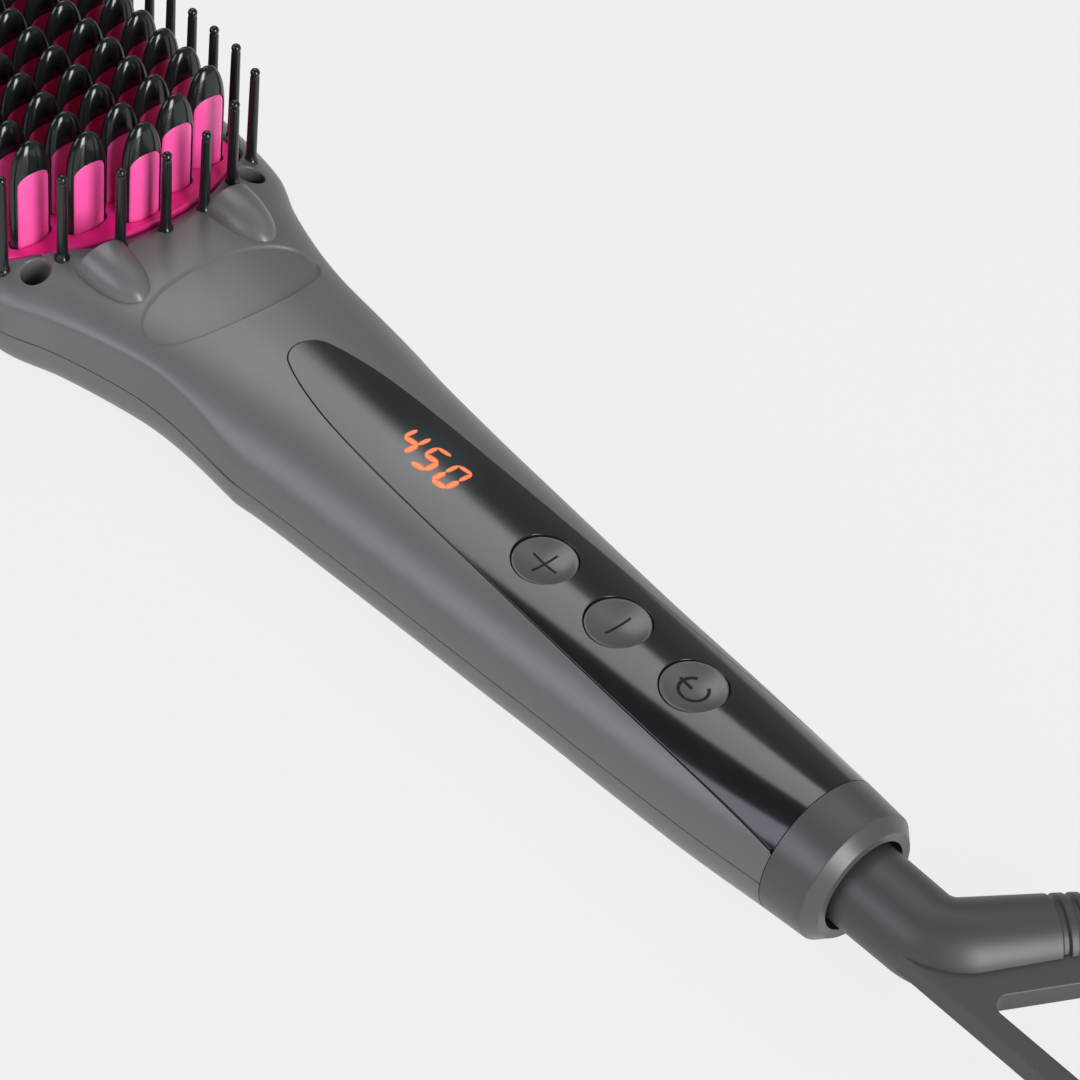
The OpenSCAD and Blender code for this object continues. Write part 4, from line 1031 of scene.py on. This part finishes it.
def build_boot():
    """Boot: a tube swept along its bent middle line, open at the cord's end. Loop: a plate with a hole,
    as one grid that runs from the hole over the top, round the outside and back below."""
    shape = Shape()
    arm_start = ELBOW_START + ELBOW_BEND_R * BOOT_TURN
    fine_step, mouth_round = 0.1485, 0.3
    s = np.concatenate([
        [HUB_Z], np.linspace(HUB_Z + 0.2, ELBOW_START, 14), np.linspace(ELBOW_START, arm_start, 22)[1:],
        arm_start + np.linspace(0.8, GROOVE_START - 0.2, 12),
        arm_start + GROOVE_START + np.arange(-1, 165) * fine_step,
        arm_start + np.linspace(37.4, ARM_L - mouth_round, 3),
    ])
    x, z, bend = boot_line(s)
    r = boot_radius(s)
    turn = np.radians([25, 50, 75, 90])
    rows = [(x, z, bend, r)]
    cap_s = arm_start + ARM_L - mouth_round + mouth_round * np.sin(turn)
    rows.append((*boot_line(cap_s), ARM_END_R - mouth_round * (1 - np.cos(turn))))
    bore_s = arm_start + ARM_L - np.array([0.0, 0.05, 0.3, 12.0, 12.0])
    rows.append((*boot_line(bore_s), np.array([3.6, 3.4, 3.3, 3.3, 0.0])))
    first = (np.array([0.0]), np.array([HUB_Z]), np.array([0.0]), np.array([5.4]))
    x, z, bend, r = (np.concatenate([f, *parts]) for f, parts in zip(first, zip(*rows)))
    t = np.arange(80) * 2 * np.pi / 80
    across = r[:, None] * np.cos(t)
    points = np.stack([x[:, None] + across * np.cos(bend)[:, None], r[:, None] * np.sin(t),
                       z[:, None] - across * np.sin(bend)[:, None]], -1)
    middle = np.stack([x, 0 * x, z], -1)[:, None]
    shape.grid(axis_frame(points), closed=True, outward=axis_frame(points) - axis_frame(middle))

    hole = radial(rounded_loop(LOOP_HOLE, LOOP_HOLE_CORNER_R), LOOP_STEPS)
    outer = radial(rounded_loop(LOOP_POINTS, LOOP_CORNER_R), LOOP_STEPS)
    edge = 0.3
    turn = np.radians(np.linspace(0, 90, 5))
    hole_out, outer_out = outline_normals(hole), outline_normals(outer)
    half = LOOP_T / 2
    rings, heights = [], []
    for k in turn[::-1]:
        rings.append(hole + hole_out * edge * (1 - math.sin(k)))
        heights.append(half - edge * (1 - math.cos(k)))
    inner_ring, outer_ring = hole + hole_out * edge, outer - outer_out * edge
    for k in np.linspace(0, 1, 8)[1:-1]:
        rings.append(inner_ring * (1 - k) + outer_ring * k)
        heights.append(half)
    for k in turn:
        rings.append(outer - outer_out * edge * (1 - math.sin(k)))
        heights.append(half - edge * (1 - math.cos(k)))
    rings, heights = np.stack(rings), np.array(heights)
    rings = np.concatenate([rings, rings[::-1], rings[:1]])
    heights = np.concatenate([heights, -heights[::-1], heights[:1]])
    flat = np.stack([rings[..., 0], heights[:, None] + 0 * rings[..., 0], rings[..., 1]], -1)
    points = axis_frame(flat)
    normals = grid_normals(points, True)
    n = len(heights) // 2
    if normals[n // 2].mean(0)[2] < 0:
        normals = -normals
    table = grid_faces(len(heights), LOOP_STEPS, True)
    a, b, c = (points.reshape(-1, 3)[table[LOOP_STEPS * (n // 2), k]] for k in (0, 1, 2))
    if np.cross(b - a, c - b)[2] < 0:
        table = table[:, ::-1]
    shape.add(points, normals, {4: table})
    make_piece("swivel_boot_skin", shape, "swivel", "boot", ["swivel_boot"])


def rounded_loop(corners, r):
    """Closed outline through the corners, each rounded with a radius, run anticlockwise."""
    corners = np.array(corners, float)
    area = np.sum(corners[:, 0] * np.roll(corners[:, 1], -1) - np.roll(corners[:, 0], -1) * corners[:, 1])
    corners = corners if area > 0 else corners[::-1]
    middle = (corners[-1] + corners[0]) / 2
    ring = np.concatenate([[middle], corners, [middle]])
    return rounded(ring, [r] * len(corners), 12)[:-1]


def radial(outline, n):
    """The outline where n even directions from the loop's middle meet it."""
    centre = LOOP_MIDDLE
    fine = even(outline, 4000)
    angle = np.unwrap(np.arctan2(fine[:, 1] - centre[1], fine[:, 0] - centre[0]))
    reach = np.linalg.norm(fine - centre, axis=1)
    order = np.argsort(angle % (2 * np.pi))
    ring_angle, ring_reach = (angle % (2 * np.pi))[order], reach[order]
    t = radial_steps(n)
    r = np.interp(t, ring_angle, ring_reach, period=2 * np.pi)
    return centre + np.stack([np.cos(t), np.sin(t)], -1) * r[:, None]


def radial_steps(n):
    """Directions that divide the loop's hole evenly along its edge."""
    centre = LOOP_MIDDLE
    hole = even(rounded_loop(LOOP_HOLE, LOOP_HOLE_CORNER_R), n)
    return np.sort(np.arctan2(hole[:, 1] - centre[1], hole[:, 0] - centre[0]) % (2 * np.pi))


# ---- Finishes -----------------------------------------------------------------------------------


class Value:
    """A shader socket whose operators add Math nodes."""

    def __init__(self, nodes, socket):
        self.nodes, self.socket = nodes, socket

    def math(self, operation, *others):
        return self.nodes.add("ShaderNodeMath", {"operation": operation}, [self, *others])

    def __add__(self, other):
        return self.math("ADD", other)

    def __radd__(self, other):
        return self.math("ADD", other)

    def __sub__(self, other):
        return self.math("SUBTRACT", other)

    def __rsub__(self, other):
        return self.nodes.add("ShaderNodeMath", {"operation": "SUBTRACT"}, [other, self])

    def __mul__(self, other):
        return self.math("MULTIPLY", other)

    def __rmul__(self, other):
        return self.math("MULTIPLY", other)

    def __truediv__(self, other):
        return self.math("DIVIDE", other)

    def clamp(self):
        return self.nodes.add("ShaderNodeClamp", {}, [self])


class Nodes:
    """Node tree of a material or the world, with one method that adds any node."""

    def __init__(self, tree):
        self.tree = tree
        tree.nodes.clear()

    def add(self, kind, settings=None, inputs=(), output=0):
        """Adds a node, sets it up, then sets or links its inputs, given in order or by name."""
        node = self.tree.nodes.new(kind)
        for name, value in (settings or {}).items():
            setattr(node, name, value)
        pairs = inputs.items() if isinstance(inputs, dict) else enumerate(inputs)
        for key, value in pairs:
            socket = node.inputs[key]
            if isinstance(value, Value):
                self.tree.links.new(value.socket, socket)
            else:
                socket.default_value = value
        return Value(self, node.outputs[output]) if node.outputs else None

    def place(self, scale=1.0):
        """Object coordinates in millimetres over the scale."""
        coords = self.add("ShaderNodeTexCoord", output="Object")
        return self.add("ShaderNodeVectorMath", {"operation": "SCALE"}, {0: coords, "Scale": 1000.0 / scale})

    def noise(self, scale, detail=2.0, roughness=0.5, stretch=None):
        """Noise whose features are about scale millimetres wide."""
        at = self.place(scale)
        if stretch:
            at = self.add("ShaderNodeVectorMath", {"operation": "MULTIPLY"}, [at, stretch])
        return self.add("ShaderNodeTexNoise", {"noise_dimensions": "3D"},
                        {"Vector": at, "Scale": 1.0, "Detail": detail, "Roughness": roughness}, "Fac")

    def mix(self, factor, a, b):
        """Colour between a and b."""
        return self.add("ShaderNodeMix", {"data_type": "RGBA"}, {0: factor, 6: a, 7: b}, 2)

    def ramp(self, value, low, high):
        """Zero at low, one at high, eased between."""
        return self.add("ShaderNodeMapRange", {"interpolation_type": "SMOOTHSTEP"},
                        [value, low, high, 0.0, 1.0])

    def bump(self, height, distance, strength):
        """Normal that a height in millimetres gives."""
        inputs = {"Height": height, "Distance": distance * MM, "Strength": strength}
        return self.add("ShaderNodeBump", {}, inputs)

    def surface(self, inputs):
        """Principled surface as the material's output."""
        shader = self.add("ShaderNodeBsdfPrincipled", {}, inputs)
        self.add("ShaderNodeOutputMaterial", {}, {"Surface": shader})


def rgb(color, factor=1.0):
    """Colour of a property with an alpha, lighter or darker by the factor."""
    return (color[0] * factor, color[1] * factor, color[2] * factor, 1.0)


def satin_plastic(n, color, roughness, grain):
    """Moulded plastic with a fine spark grain, slow changes of sheen and a few paler rubbed places."""
    fine = n.noise(grain, 2.0, 0.6)
    cloud = n.noise(26.0, 3.0, 0.55)
    rubbed = n.ramp(n.noise(9.0, 5.0, 0.62), 0.6, 0.78)
    scuffs = n.ramp(n.noise(5.0, 3.0, 0.7, (1.0, 0.12, 1.0)), 0.66, 0.74) * rubbed
    base = n.mix(cloud, rgb(color, 0.94), rgb(color, 1.06))
    base = n.mix(rubbed * 0.1 + scuffs * 0.08, base, rgb(color, 1.35))
    rough = roughness + (cloud - 0.5) * 0.06 - rubbed * 0.03 + (fine - 0.5) * 0.06
    n.surface({"Base Color": base, "Roughness": rough.clamp(), "Normal": n.bump(fine, 0.004, 0.6),
               "Specular IOR Level": 0.5})


def gloss_plastic(n, color, roughness):
    """Polished black plastic: a faint flow of the moulding, fine dust and hairline wipe marks."""
    flow = n.noise(7.0, 2.0, 0.5)
    wipe = n.ramp(n.noise(1.6, 4.0, 0.65, (1.0, 0.08, 1.0)), 0.58, 0.8)
    dust = n.ramp(n.noise(0.35, 1.0, 0.5), 0.76, 0.84)
    base = n.mix(flow, rgb(color, 0.8), rgb(color, 1.25))
    base = n.mix(dust * 0.06, base, (0.3, 0.3, 0.3, 1.0))
    rough = roughness + wipe * 0.05 + dust * 0.1 + (flow - 0.5) * 0.03
    n.surface({"Base Color": base, "Roughness": rough.clamp(), "Normal": n.bump(flow, 0.03, 0.3)})


def panel_gloss(n, color):
    """Smoked panel: polished, with a faint cool haze where the display sits under it."""
    at = n.place()
    x, y, _ = (n.add("ShaderNodeSeparateXYZ", {}, [at], k) for k in range(3))
    dx, dy = x / 7.0, (y - DISPLAY_Y) / 11.0
    haze = 1.0 - n.ramp(dx * dx + dy * dy, 0.0, 1.0)
    flow = n.noise(9.0, 2.0, 0.5)
    wipe = n.ramp(n.noise(2.2, 4.0, 0.65, (1.0, 0.1, 1.0)), 0.6, 0.8)
    base = n.mix(flow, rgb(color, 0.85), rgb(color, 1.2))
    base = n.mix(haze * 0.55, base, (0.02, 0.05, 0.055, 1.0))
    rough = 0.16 + wipe * 0.03 + (flow - 0.5) * 0.03
    n.surface({"Base Color": base, "Roughness": rough.clamp(), "Normal": n.bump(flow, 0.02, 0.25)})


def pink_coating(n, color, kept=1.0):
    """Baked pink ceramic coat: fine orange peel, faint pooling and a satin gloss. Behind the front rows
    only the kept share of the colour is left, and the rest turns deep red."""
    at = n.place()
    x, y, _ = (n.add("ShaderNodeSeparateXYZ", {}, [at], k) for k in range(3))
    # painted shadow: it starts at front_y, bent along x, and is full at inner_y, among the rows behind the
    # front ones
    front_bend, front_y, inner_y = 0.016, -31.0, -24.0
    painted_row_shade = n.ramp(y - x * x * front_bend, front_y, inner_y)
    peel = n.noise(0.6, 2.0, 0.5)
    pool = n.noise(6.0, 3.0, 0.5)
    speck = n.ramp(n.noise(0.22, 1.0, 0.5), 0.7, 0.8)
    base = n.mix(pool, rgb(color, 0.9), rgb(color, 1.08))
    base = n.mix(speck * 0.15, base, (1.0, 0.2, 0.5, 1.0))
    # painted shadow: behind the front rows the colour turns deep red, as the shade between the teeth would
    # make it
    base = n.mix(painted_row_shade * (1.0 - kept), base, (0.5, 0.0, 0.06, 1.0))
    rough = 0.34 + (pool - 0.5) * 0.08 + (peel - 0.5) * 0.05
    n.surface({"Base Color": base, "Roughness": rough.clamp(), "Normal": n.bump(peel, 0.006, 0.5),
               "Coat Weight": 0.7, "Coat Roughness": 0.3})


def bare_metal(n, color, roughness, brush):
    """Bare metal with fine tool marks along X, patches of dull oxide and slight tarnish."""
    marks = n.noise(0.5, 3.0, 0.6, (brush, 1.0, 1.0))
    oxide = n.ramp(n.noise(5.0, 4.0, 0.6), 0.45, 0.75)
    base = n.mix(oxide * 0.5, rgb(color), rgb(color, 0.72))
    rough = roughness + oxide * 0.14 + (marks - 0.5) * 0.12
    n.surface({"Base Color": base, "Metallic": 1.0, "Roughness": rough.clamp(),
               "Normal": n.bump(marks, 0.004, 0.5)})


def mineral(n, color, roughness, grain):
    """Fired ceramic, mica or felt-like mineral: speckled, dry and slightly uneven."""
    speck = n.noise(grain, 3.0, 0.65)
    patch = n.noise(6.0, 2.0, 0.5)
    base = n.mix(speck, rgb(color, 0.82), rgb(color, 1.08))
    base = n.mix(patch * 0.3, base, rgb(color, 0.9))
    n.surface({"Base Color": base, "Roughness": (roughness + (speck - 0.5) * 0.1).clamp(),
               "Normal": n.bump(speck, 0.01, 0.6)})


def board(n, color):
    """Circuit board: woven glass under green lacquer, with copper runs that stand out slightly."""
    at = n.place(1.0)
    weave = n.add("ShaderNodeTexWave", {"wave_type": "BANDS", "bands_direction": "DIAGONAL"},
                  {"Vector": at, "Scale": 0.9, "Distortion": 1.5, "Detail": 2.0}, "Fac")
    runs = n.ramp(n.add("ShaderNodeTexBrick", {"offset": 0.4},
                        {"Vector": at, "Scale": 0.35, "Mortar Size": 0.06}, "Fac"), 0.3, 0.7)
    base = n.mix(weave * 0.25, rgb(color), rgb(color, 1.4))
    base = n.mix(runs * 0.5, base, (0.12, 0.28, 0.1, 1.0))
    n.surface({"Base Color": base, "Roughness": 0.35 + weave * 0.1, "Normal": n.bump(runs, 0.03, 0.6)})


def digit_glow(n):
    """Lit segments: pale orange in the middle and red towards their edges."""
    across, _, _ = (n.add("ShaderNodeSeparateXYZ", {}, [n.add("ShaderNodeTexCoord", output="UV")], k)
                    for k in range(3))
    edge = (across - 0.5).math("ABSOLUTE") * 2.0
    cell = n.noise(0.5, 1.0, 0.5)
    color = n.mix(n.ramp(edge, 0.35, 0.95), (1.0, 0.28, 0.07, 1.0), (0.95, 0.045, 0.03, 1.0))
    color = n.mix(cell * 0.12, color, (1.0, 0.45, 0.15, 1.0))
    n.surface({"Base Color": (0.02, 0.0, 0.0, 1.0), "Roughness": 0.4, "Emission Color": color,
               "Emission Strength": 1.0})


def sign_ink(n):
    """Matt black ink of the signs, worn a little thinner in places."""
    wear = n.ramp(n.noise(0.8, 3.0, 0.6), 0.6, 0.85)
    n.surface({"Base Color": n.mix(wear * 0.3, (0.002, 0.002, 0.002, 1.0), (0.012, 0.012, 0.012, 1.0)),
               "Roughness": 0.75 + wear * 0.1})


def finish(slot):
    """Material of a slot or of a look of its own, made at its first use."""
    known = bpy.data.materials.get("finish_" + slot)
    if known:
        return known
    colors = bpy.context.scene.brush_colors
    material = bpy.data.materials.new("finish_" + slot)
    material.use_nodes = True
    n = Nodes(material.node_tree)
    recipes = {
        "shell": lambda: satin_plastic(n, colors.shell, 0.36, 0.16),
        "boot": lambda: satin_plastic(n, colors.boot, 0.46, 0.2),
        "gloss_black": lambda: gloss_plastic(n, colors.gloss_black, 0.17),
        "panel": lambda: panel_gloss(n, colors.panel),
        "pink_coat": lambda: pink_coating(n, colors.pink),
        # fins: the plate's pink coat with a painted highlight (a paler pink) and a painted shadow over the
        # rows behind the front ones
        "fin_coat": lambda: pink_coating(n, colors.fin, 0.2),
        "bare_aluminium": lambda: bare_metal(n, (0.62, 0.63, 0.65), 0.32, 0.06),
        "plain_steel": lambda: bare_metal(n, (0.42, 0.42, 0.43), 0.36, 1.0),
        "contact_metal": lambda: bare_metal(n, (0.83, 0.55, 0.24), 0.26, 1.0),
        "ceramic": lambda: mineral(n, (0.72, 0.69, 0.62), 0.62, 0.5),
        "seal": lambda: mineral(n, (0.42, 0.38, 0.33), 0.8, 0.3),
        "inner_plastic": lambda: satin_plastic(n, (0.035, 0.035, 0.037), 0.5, 0.25),
        "white_plastic": lambda: satin_plastic(n, (0.66, 0.66, 0.62), 0.42, 0.3),
        "lead": lambda: satin_plastic(n, (0.55, 0.03, 0.03), 0.38, 0.6),
        "circuit_board": lambda: board(n, (0.02, 0.14, 0.05)),
        "display": lambda: gloss_plastic(n, (0.03, 0.004, 0.004), 0.2),
        "digit_light": lambda: digit_glow(n),
        "collar_satin": lambda: satin_plastic(n, colors.collar, 0.36, 0.16),
        "button_satin": lambda: satin_plastic(n, colors.button, 0.3, 0.2),
        "sign_ink": lambda: sign_ink(n),
    }
    recipes[slot]()
    return material


def dress_nodes():
    """Gives every CAD node the finish of its slot in the record."""
    for part in frame["record"]["subparts"]:
        node = frame["nodes"][part["node"]]
        node.data.materials.clear()
        node.data.materials.append(finish(part["material_slot"]))


# ---- Stage --------------------------------------------------------------------------------------


def area_light(name, place, target, size, power, color):
    """Soft rectangular lamp at a place in metres, facing a target."""
    data = bpy.data.lights.new(name, "AREA")
    data.shape = "RECTANGLE"
    data.size, data.size_y = size
    data.energy = power
    data.color = color
    lamp = bpy.data.objects.new(name, data)
    bpy.context.scene.collection.objects.link(lamp)
    lamp.location = place
    from_target = np.array(place) - np.array(target)
    z = from_target / np.linalg.norm(from_target)
    x = np.cross([0, 1, 0] if abs(z[1]) < 0.9 else [1, 0, 0], z)
    x = x / np.linalg.norm(x)
    lamp.matrix_world = matrix(np.stack([x, np.cross(z, x), z], 1), place)


def matrix(axes, place):
    """Four by four matrix from three axes as columns and a place."""
    whole = np.eye(4)
    whole[:3, :3] = axes
    whole[:3, 3] = place
    return Matrix(whole.tolist())


def build_floor(color):
    """Pale floor that fades into the backdrop: a wide dish with a level middle, raised far away."""
    t = np.arange(96) * 2 * np.pi / 96
    r = np.concatenate([[0], np.geomspace(0.05, 6.0, 40)])[:, None]
    points = np.stack([r * np.cos(t), r * np.sin(t), -0.0001 + 0 * r * t], -1) / MM
    shape = Shape()
    shape.grid(points, closed=True, first=(0, 0, 1))
    floor = bpy.data.objects.new("studio_floor", shape.mesh("studio_floor"))
    bpy.context.scene.collection.objects.link(floor)
    material = bpy.data.materials.new("studio_floor")
    material.use_nodes = True
    n = Nodes(material.node_tree)
    rays = [n.add("ShaderNodeLightPath", output=name)
            for name in ("Is Camera Ray", "Is Glossy Ray", "Is Transmission Ray")]
    seen = (rays[0] + rays[1] + rays[2]).clamp()
    paper = n.add("ShaderNodeBsdfDiffuse", {}, {"Color": rgb(color, 0.8)})
    glow = n.add("ShaderNodeEmission", {}, {"Color": rgb(color), "Strength": 1.0})
    blend = n.add("ShaderNodeMixShader", {}, [seen * 0.93, paper, glow])
    n.add("ShaderNodeOutputMaterial", {}, {"Surface": blend})
    floor.data.materials.append(material)


def build_world(studio):
    """Pale backdrop for the camera and an even dim room for soft light. Glossy surfaces mirror a dark
    ceiling, a paler wall on the right and the backdrop below the horizon."""
    backdrop = rgb(studio.backdrop)
    world = bpy.data.worlds.new("studio")
    bpy.context.scene.world = world
    world.use_nodes = True
    n = Nodes(world.node_tree)
    way = n.add("ShaderNodeTexCoord", output="Generated")
    across, up = (n.add("ShaderNodeSeparateXYZ", {}, [way], k) for k in (0, 2))
    camera, glossy, through = (n.add("ShaderNodeLightPath", output=name)
                               for name in ("Is Camera Ray", "Is Glossy Ray", "Is Transmission Ray"))
    below = 1.0 - n.ramp(up, -0.05, 0.02)
    mirrored = n.mix(n.ramp(across, -0.1, 0.8), rgb(studio.ceiling), rgb(studio.wall))
    mirrored = n.mix(below, mirrored, backdrop)
    room = n.mix(glossy, rgb(studio.room), mirrored)
    seen = n.mix((camera + through).clamp(), room, backdrop)
    surface = n.add("ShaderNodeBackground", {}, {"Color": seen, "Strength": 1.0})
    n.add("ShaderNodeOutputWorld", {}, {"Surface": surface})


def build_stage():
    """Camera at the photograph's angle, soft lamps, pale floor and backdrop."""
    scene = bpy.context.scene
    studio = scene.brush_studio
    target = (0.0, -0.08, 0.02)
    white, teal, lilac = (1.0, 1.0, 1.0), (0.7, 1.0, 0.9), (0.86, 0.86, 1.0)
    area_light("lamp_over", (0.3, 0.62, 1.08), target, (0.8, 0.5), studio.over_power, white)
    area_light("lamp_teal", (0.62, -0.02, 0.95), target, (0.36, 0.5), studio.teal_power, teal)
    area_light("lamp_left", (-0.95, 0.3, 0.58), target, (0.6, 0.9), studio.left_power, lilac)
    area_light("lamp_front", (-0.15, -1.4, 0.36), target, (1.2, 0.45), studio.front_power, white)
    build_floor(studio.backdrop)
    build_world(studio)
    right = np.array([0.74461719, -0.65975939, 0.10130544])
    down = np.array([-0.41474209, -0.57622172, -0.70424253])
    ahead = np.array([0.52300501, 0.48237546, -0.70269458])
    data = bpy.data.cameras.new("camera")
    data.sensor_fit = "HORIZONTAL"
    data.sensor_width = 36.0
    data.lens = studio.lens
    data.clip_start, data.clip_end = 0.01, 100.0
    camera = bpy.data.objects.new("camera", data)
    scene.collection.objects.link(camera)
    camera.matrix_world = matrix(np.stack([right, -down, -ahead], 1), studio.camera_place)
    scene.camera = camera
    scene.view_settings.view_transform = "Standard"


# ---- Add-on -------------------------------------------------------------------------------------


def length(name, description, default):
    """Length property in metres, given in millimetres."""
    return bpy.props.FloatProperty(name=name, description=description, default=default * MM, min=0.0,
                                   unit="LENGTH", precision=5)


def color(name, description, default):
    """Colour property."""
    return bpy.props.FloatVectorProperty(name=name, description=description, default=default, size=3,
                                         min=0.0, max=1.0, subtype="COLOR")


def power(name, description, default):
    """Power property of a lamp in watts."""
    return bpy.props.FloatProperty(name=name, description=description, default=default, min=0.0,
                                   subtype="POWER", unit="POWER")


class BrushSizes(bpy.types.PropertyGroup):
    """Sizes of the visible pieces that a user would change."""

    seam_gap: length("Seam gap", "Gap between the two shells", 0.2)
    seam_round: length("Seam edge", "Radius of the shells' edges at the seam", 0.22)
    shoulder_round: length("Shoulder", "Softness of the shoulder between crown and sides", 0.35)
    oval_depth: length("Oval depth", "Depth of the oval recess", 0.55)
    panel_gap: length("Panel gap", "Gap between the panel and the shell", 0.1)
    panel_round: length("Panel edge", "Radius of the edges along the panel", 0.12)
    tooth_half_w: length("Tooth half width", "Half width of a tooth across the brush", 3.9)
    tooth_half_t: length("Tooth half thickness", "Half thickness of a tooth along the brush", 1.9)
    tooth_tip: length("Tooth tip", "Height of the tooth tips", 40.0)
    nose: length("Nose", "Height of the rounded nose of a cap", 9.0)
    window_half_w: length("Window half width", "Half width of the window in a cap", 3.2)
    pin_tip: length("Pin tip", "Height of the tips of the guard pins", 38.4)
    pin_r: length("Pin radius", "Radius of a guard pin", 0.85)
    button_r: length("Button radius", "Radius of a button", 5.25)
    dish_depth: length("Dish depth", "Depth of the dish in a button", 0.75)


class BrushColors(bpy.types.PropertyGroup):
    """Colours of the finishes."""

    shell: color("Shell", "Satin grey of both shells and the hoods", (0.125, 0.125, 0.128))
    collar: color("Collar", "Satin grey of the end collar", (0.066, 0.066, 0.068))
    button: color("Button", "Satin grey of the buttons", (0.085, 0.085, 0.087))
    boot: color("Boot", "Grey of the boot and its loop", (0.052, 0.052, 0.054))
    gloss_black: color("Gloss black", "Caps and pins", (0.008, 0.01, 0.01))
    panel: color("Panel", "Glossy inlay of the handle", (0.012, 0.012, 0.013))
    pink: color("Pink", "Coat of the heat plate", (1.0, 0.012, 0.27))
    # painted highlight: the fins' pink is paler than the plate's own pink and stands in for the sheen of
    # light on them
    fin: color("Fin", "Coat of the fins in the front rows", (1.0, 0.1, 0.4))


class BrushStudio(bpy.types.PropertyGroup):
    """Lamps, backdrop and camera."""

    over_power: power("Overhead lamp", "Power of the lamp that the panel mirrors", 5.2)
    teal_power: power("Teal lamp", "Power of the lamp that the caps mirror", 0.6)
    left_power: power("Left lamp", "Power of the lamp on the left", 6.5)
    front_power: power("Front lamp", "Power of the low lamp behind the handle", 26.0)
    backdrop: color("Backdrop", "Pale floor and backdrop", (0.885, 0.885, 0.885))
    room: color("Room", "Light of the room", (0.16, 0.16, 0.16))
    wall: color("Wall", "Wall on the right that glossy surfaces mirror", (0.32, 0.32, 0.32))
    ceiling: color("Ceiling", "Dark ceiling that glossy surfaces mirror", (0.05, 0.05, 0.05))
    lens: bpy.props.FloatProperty(name="Lens", description="Focal length of the camera in millimetres",
                                  default=105.815, min=10.0, subtype="DISTANCE_CAMERA")
    camera_place: bpy.props.FloatVectorProperty(name="Camera", description="Place of the camera", size=3,
                                                default=(-0.2525, -0.36885, 0.3648), subtype="TRANSLATION",
                                                unit="LENGTH")


class BrushOperator:
    """Runs one builder and reports it as finished."""

    bl_options = {"REGISTER", "UNDO"}
    build = None

    def execute(self, context):
        type(self).build()
        return {"FINISHED"}


def operator(name, label, words, builder):
    """Operator class for a builder, with its label and its description."""
    fields = {"bl_idname": "brush." + name, "bl_label": label, "__doc__": words,
              "build": staticmethod(builder)}
    return type("BRUSH_OT_" + name, (BrushOperator, bpy.types.Operator), fields)


OPERATORS = [
    operator("front_shell", "Front shell", "Head deck, neck and handle with all openings", build_front_shell),
    operator("rear_cover", "Rear cover", "Back of the head and handle", build_rear_cover),
    operator("heat_plate", "Heat plate", "Pink plate with a slot for each tooth", build_heat_plate),
    operator("teeth", "Teeth", "Black caps and pink fins", build_teeth),
    operator("guard_pins", "Guard pins", "Pins round the plate", build_guard_pins),
    operator("outlet_hoods", "Outlet hoods", "Hoods of the two outlets", build_hoods),
    operator("control_panel", "Control panel", "Glossy inlay of the handle", build_panel),
    operator("buttons", "Buttons", "Three dished buttons and their signs", build_buttons),
    operator("display", "Display", "Lit digits on the panel", build_display),
    operator("end_collar", "End collar", "Ring at the end of the handle", build_collar),
    operator("swivel_boot", "Swivel boot", "Bent boot with its loop", build_boot),
    operator("inner_parts", "Inner parts", "Finishes of every solid of the model", dress_nodes),
    operator("stage", "Stage", "Camera, lamps, floor and backdrop", build_stage),
]


class BRUSH_PT_pieces(bpy.types.Panel):
    """Lists the pieces and the settings that they are built from"""

    bl_label = "Straightening brush"
    bl_idname = "BRUSH_PT_pieces"
    bl_space_type = "VIEW_3D"
    bl_region_type = "UI"
    bl_category = "Brush"

    def draw(self, context):
        for group in (context.scene.brush_sizes, context.scene.brush_colors, context.scene.brush_studio):
            box = self.layout.box()
            for name in group.__annotations__:
                box.prop(group, name)
        for entry in OPERATORS:
            self.layout.operator(entry.bl_idname)


CLASSES = [BrushSizes, BrushColors, BrushStudio, *OPERATORS, BRUSH_PT_pieces]


def register():
    """Registers the classes and hangs the settings on the scene."""
    for entry in CLASSES:
        bpy.utils.register_class(entry)
    bpy.types.Scene.brush_sizes = bpy.props.PointerProperty(type=BrushSizes)
    bpy.types.Scene.brush_colors = bpy.props.PointerProperty(type=BrushColors)
    bpy.types.Scene.brush_studio = bpy.props.PointerProperty(type=BrushStudio)


def unregister():
    """Takes the settings off the scene and the classes out again."""
    del bpy.types.Scene.brush_sizes, bpy.types.Scene.brush_colors, bpy.types.Scene.brush_studio
    for entry in reversed(CLASSES):
        bpy.utils.unregister_class(entry)


def main():
    """Builds every piece and the stage, and writes the size of the model before and after."""
    register()
    for entry in OPERATORS:
        group, name = entry.bl_idname.split(".")
        if getattr(getattr(bpy.ops, group), name)() != {"FINISHED"}:
            raise RuntimeError(entry.bl_label + " wasn't built")


if __name__ == "__main__":
    main()
